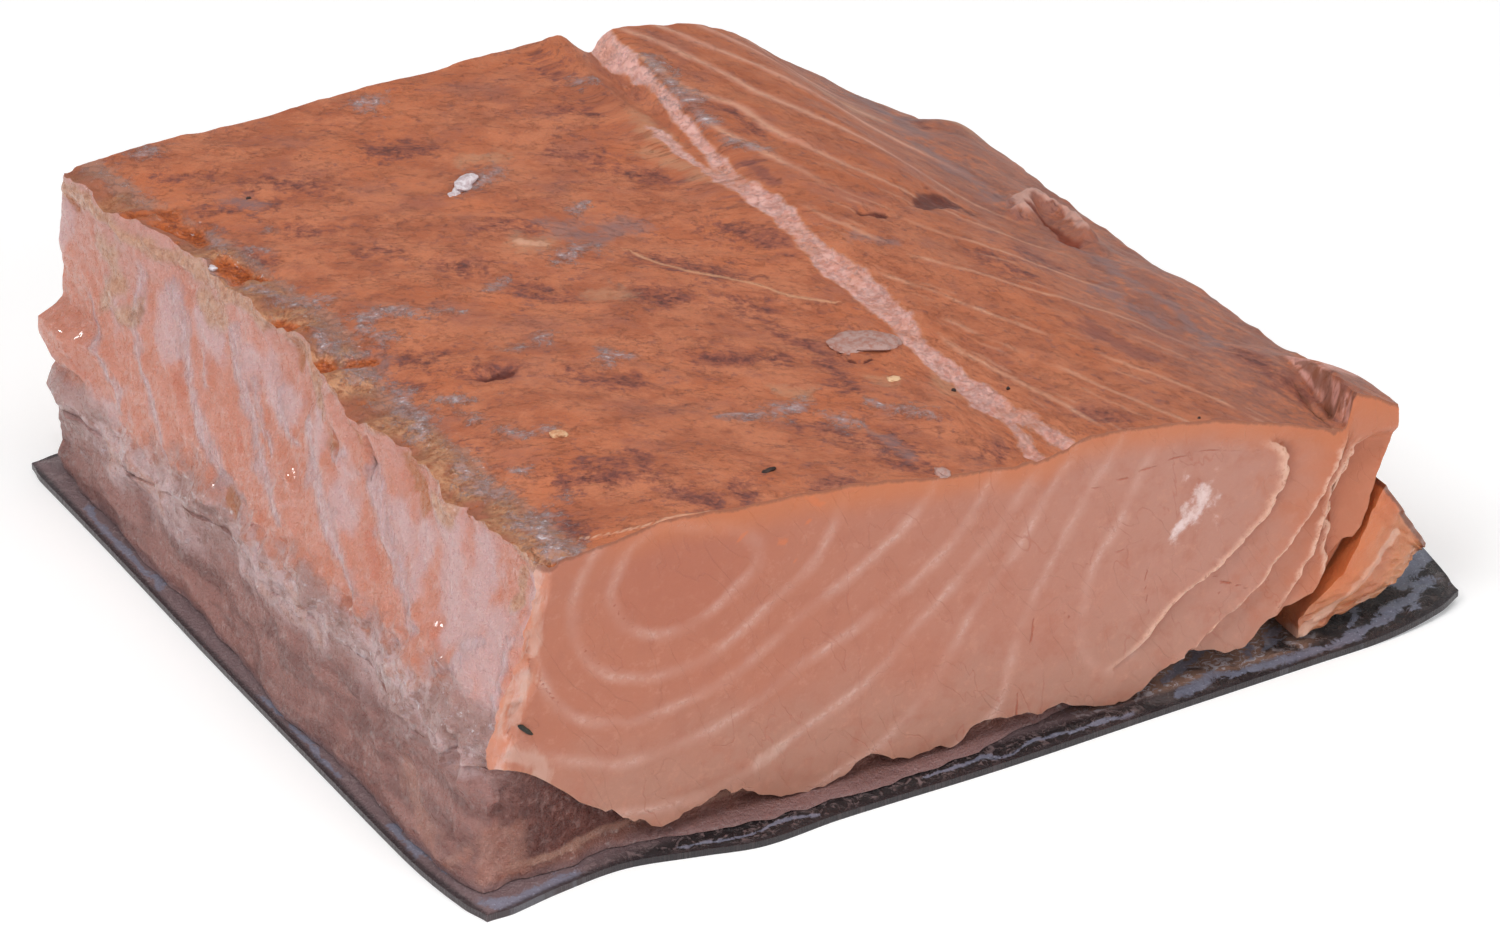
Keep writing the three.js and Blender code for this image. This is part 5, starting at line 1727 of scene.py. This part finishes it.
# The panel's own dark brown, darkened with painted shade from the overhang above it.
panel_in_shade = brown.coats(
    (92, 48, 41),
    ((120, 68, 57), brown.step(0.4, 0.7, blotch)),
    ((134, 86, 74), brown.fall(1.2, 1.9, level)),
    ((178, 132, 114), brown.step(1.4, 1.9, level) * brown.fall(2.3, 2.9, level) * 0.7),
)
lump_shade = brown.blend((196, 144, 128), (176, 112, 92), brown.step(0.45, 0.62, blotch))
meat = brown.coats(
    side_shade,
    (panel_in_shade, brown.painted("front")),
    (lump_shade, brown.patch("lump", brown.noise(1.2, 6.0, rough=0.78), 0.2, 1.3, 1.2) * 0.6),
    ((140, 120, 126), brown.fall(0.2, 1.4, level) * 0.4),
)
brown.to("Base Color", meat)
brown.to("Roughness", 0.3 + glints.swing(0.35))
brown.to("Coat Weight", brown.step(0.5, 0.62, glints) * 0.7)
brown.bump(side_relief * 1.2 + blotch * 0.3 + glints * 0.4, 0.9, 1.0)
wear(dark_meat, brown)

# %% [markdown]
# ## Skin
#
# The skin's inner face is nearly black towards the belly and greyer along the back, with a bluish silver
# film that has torn into flecks; its bright flecks are partly torn film and partly painted glints. In the
# gap under the flesh's overhang, where the skin lies in shade, the brown membranes are painted lighter:
# painted light. Its outer face carries silver-grey scales with dark edges.

# %% Inner and outer face of the skin
inner = Finish("skin_inside", Specular_IOR_Level=0.45, Coat_Roughness=0.1)
film_place = inner.place(painted="flat")
film = inner.noise(1.6, 6.0, film_place, warp=1.4, rough=0.72)
wide_film = inner.noise(6.0, 4.0, film_place, warp=1.2)
flecks = inner.noise(0.5, 4.0, film_place, rough=0.75)
belly_part = inner.painted("belly")
# Membranes in the shaded gap under the overhang, painted lighter: painted light.
gap_membranes_lit = inner.blend((166, 130, 112), (214, 206, 214), inner.step(0.5, 0.6, film))
silver = inner.patch("silver", film, 0.42, 0.8, 2.2)
# Grey flecks, and the bright flecks on the silver: partly torn film, partly painted glints.
grey_flecks_and_glints = inner.step(0.62, 0.7, flecks) * inner.step(0.45, 0.6, wide_film)
base = inner.coats(
    (128, 105, 107),
    ((30, 26, 29), inner.painted("near").most(belly_part)),
    ((74, 60, 56), inner.step(0.42, 0.6, film) * belly_part * 0.7),
    ((154, 130, 130), inner.step(0.5, 0.66, film) * (1 - belly_part) * 0.6),
    ((104, 94, 94), inner.step(0.52, 0.68, wide_film) * belly_part * 0.7),
    (gap_membranes_lit, inner.painted("gap") * inner.step(0.3, 0.5, wide_film) * 0.9),
    ((128, 134, 156), silver * 0.7),
    ((190, 194, 212), inner.step(0.56, 0.68, flecks) * silver * 0.6),
    ((150, 140, 142), grey_flecks_and_glints * 0.45),
    ((44, 38, 42), inner.fall(0.3, 1.2, inner.painted("rim") + flecks.swing(0.8)) * 0.85),
)
inner.to("Base Color", base)
inner.to("Roughness", 0.26 - silver * 0.06 + film.swing(0.3))
inner.to("Coat Weight", 0.1 + silver * 0.7)
inner.bump(film * 0.5 + wide_film * 0.3 + flecks * 0.4, 0.6, 0.95)

SCALE_SIZE = 3.2
outer = Finish("skin_outside", Specular_IOR_Level=0.6, Coat_Weight=0.3, Coat_Roughness=0.2)
scales = outer.cells(SCALE_SIZE, outer.place(painted="flat"), jitter=0.35)
outer.to("Base Color", outer.blend((150, 152, 158), (58, 60, 68), outer.step(0.25, 0.6, scales)))
outer.to("Roughness", 0.3 + scales * 0.3)
outer.bump(1 - scales, 0.4, 0.7)
wear(skin, inner, outer)
skin.data.polygons.foreach_set("material_index", (skin_sides == SIDES.index("under")).astype(int))

# %% [markdown]
# ## Flake, small pieces and floor
#
# The loose flake is orange, pale along one seam, and wet and browned at its rim. Each kind of small piece
# gets two shades in speckles. The floor is all but white.

# %% Flake's finish
loose = Finish("loose_flake", Subsurface_Weight=0.2, Specular_IOR_Level=0.55, Coat_Roughness=0.12,
               **MUSCLE)
grain = loose.noise(0.8, 3.0, rough=0.7)
gloss = loose.patch("gloss", loose.noise(1.2, 5.0, rough=0.7), 0.3, 0.8, 1.0)
meat = loose.coats(
    (198, 128, 90),
    ((184, 112, 80), loose.step(0.35, 0.7, loose.noise(4.0, 3.0))),
    ((216, 168, 146), loose.patch("seam", grain, 0.3, 0.7, 0.5) * 0.8),
    ((188, 138, 120), loose.painted("foot") * 0.7),
    ((206, 112, 62), loose.painted("shaded") * 0.8),
    ((180, 116, 74), gloss * 0.8),
    ((104, 60, 42), loose.patch("rim", grain, 0.35, 0.8, 0.5) * 0.85),
)
loose.to("Base Color", meat)
loose.to("Roughness", 0.36 + grain.swing(0.25))
loose.to("Coat Weight", gloss.most(loose.painted("rim")) * 0.8)
loose.bump(grain * 0.6 + loose.noise(2.0, 3.0) * 0.4, 0.5, 0.7)
wear(flake, loose)

# %% Small pieces' finishes, and the floor's
SMALL_SHADES = {
    "protein_lump": ((178, 144, 136), (166, 114, 100)),
    "white_lump": ((226, 216, 220), (196, 176, 180)),
    "pale_crumb": ((226, 186, 146), (200, 142, 104)),
    "dark_seed": ((62, 42, 36), (44, 30, 26)),
    "herb_scrap": ((44, 44, 32), (28, 28, 22)),
}
for kind, (light_shade, deep_shade) in SMALL_SHADES.items():
    bit = Finish(kind, Roughness=0.45, Specular_IOR_Level=0.4)
    speckled = bit.noise(0.9, 4.0, rough=0.7)
    bit.to("Base Color", bit.blend(light_shade, deep_shade, bit.step(0.42, 0.62, speckled)))
    bit.bump(speckled, 0.3, 0.6)
    for piece in small_pieces[kind]:
        wear(piece, bit)

pale = Finish("pale_floor", Roughness=0.9, Emission_Strength=0.16, Emission_Color=(1.0, 1.0, 1.0, 1.0))
pale.to("Base Color", pale.blend((250, 250, 250), (247, 247, 247), pale.noise(60.0, 2.0)))
wear(floor, pale)

# %% [markdown]
# ## Tying the pieces to the frame
#
# Each fine surface stands for the solid of the same form. All ride on the one body, because food has no
# joints.

# %% Ride and replace
for piece, node in ((flesh, "flesh"), (dark_meat, "dark_meat"), (skin, "skin"), (flake, "belly_flake")):
    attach(piece, "root")
    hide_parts(node)

for pieces in small_pieces.values():
    for piece in pieces:
        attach(piece, "root")
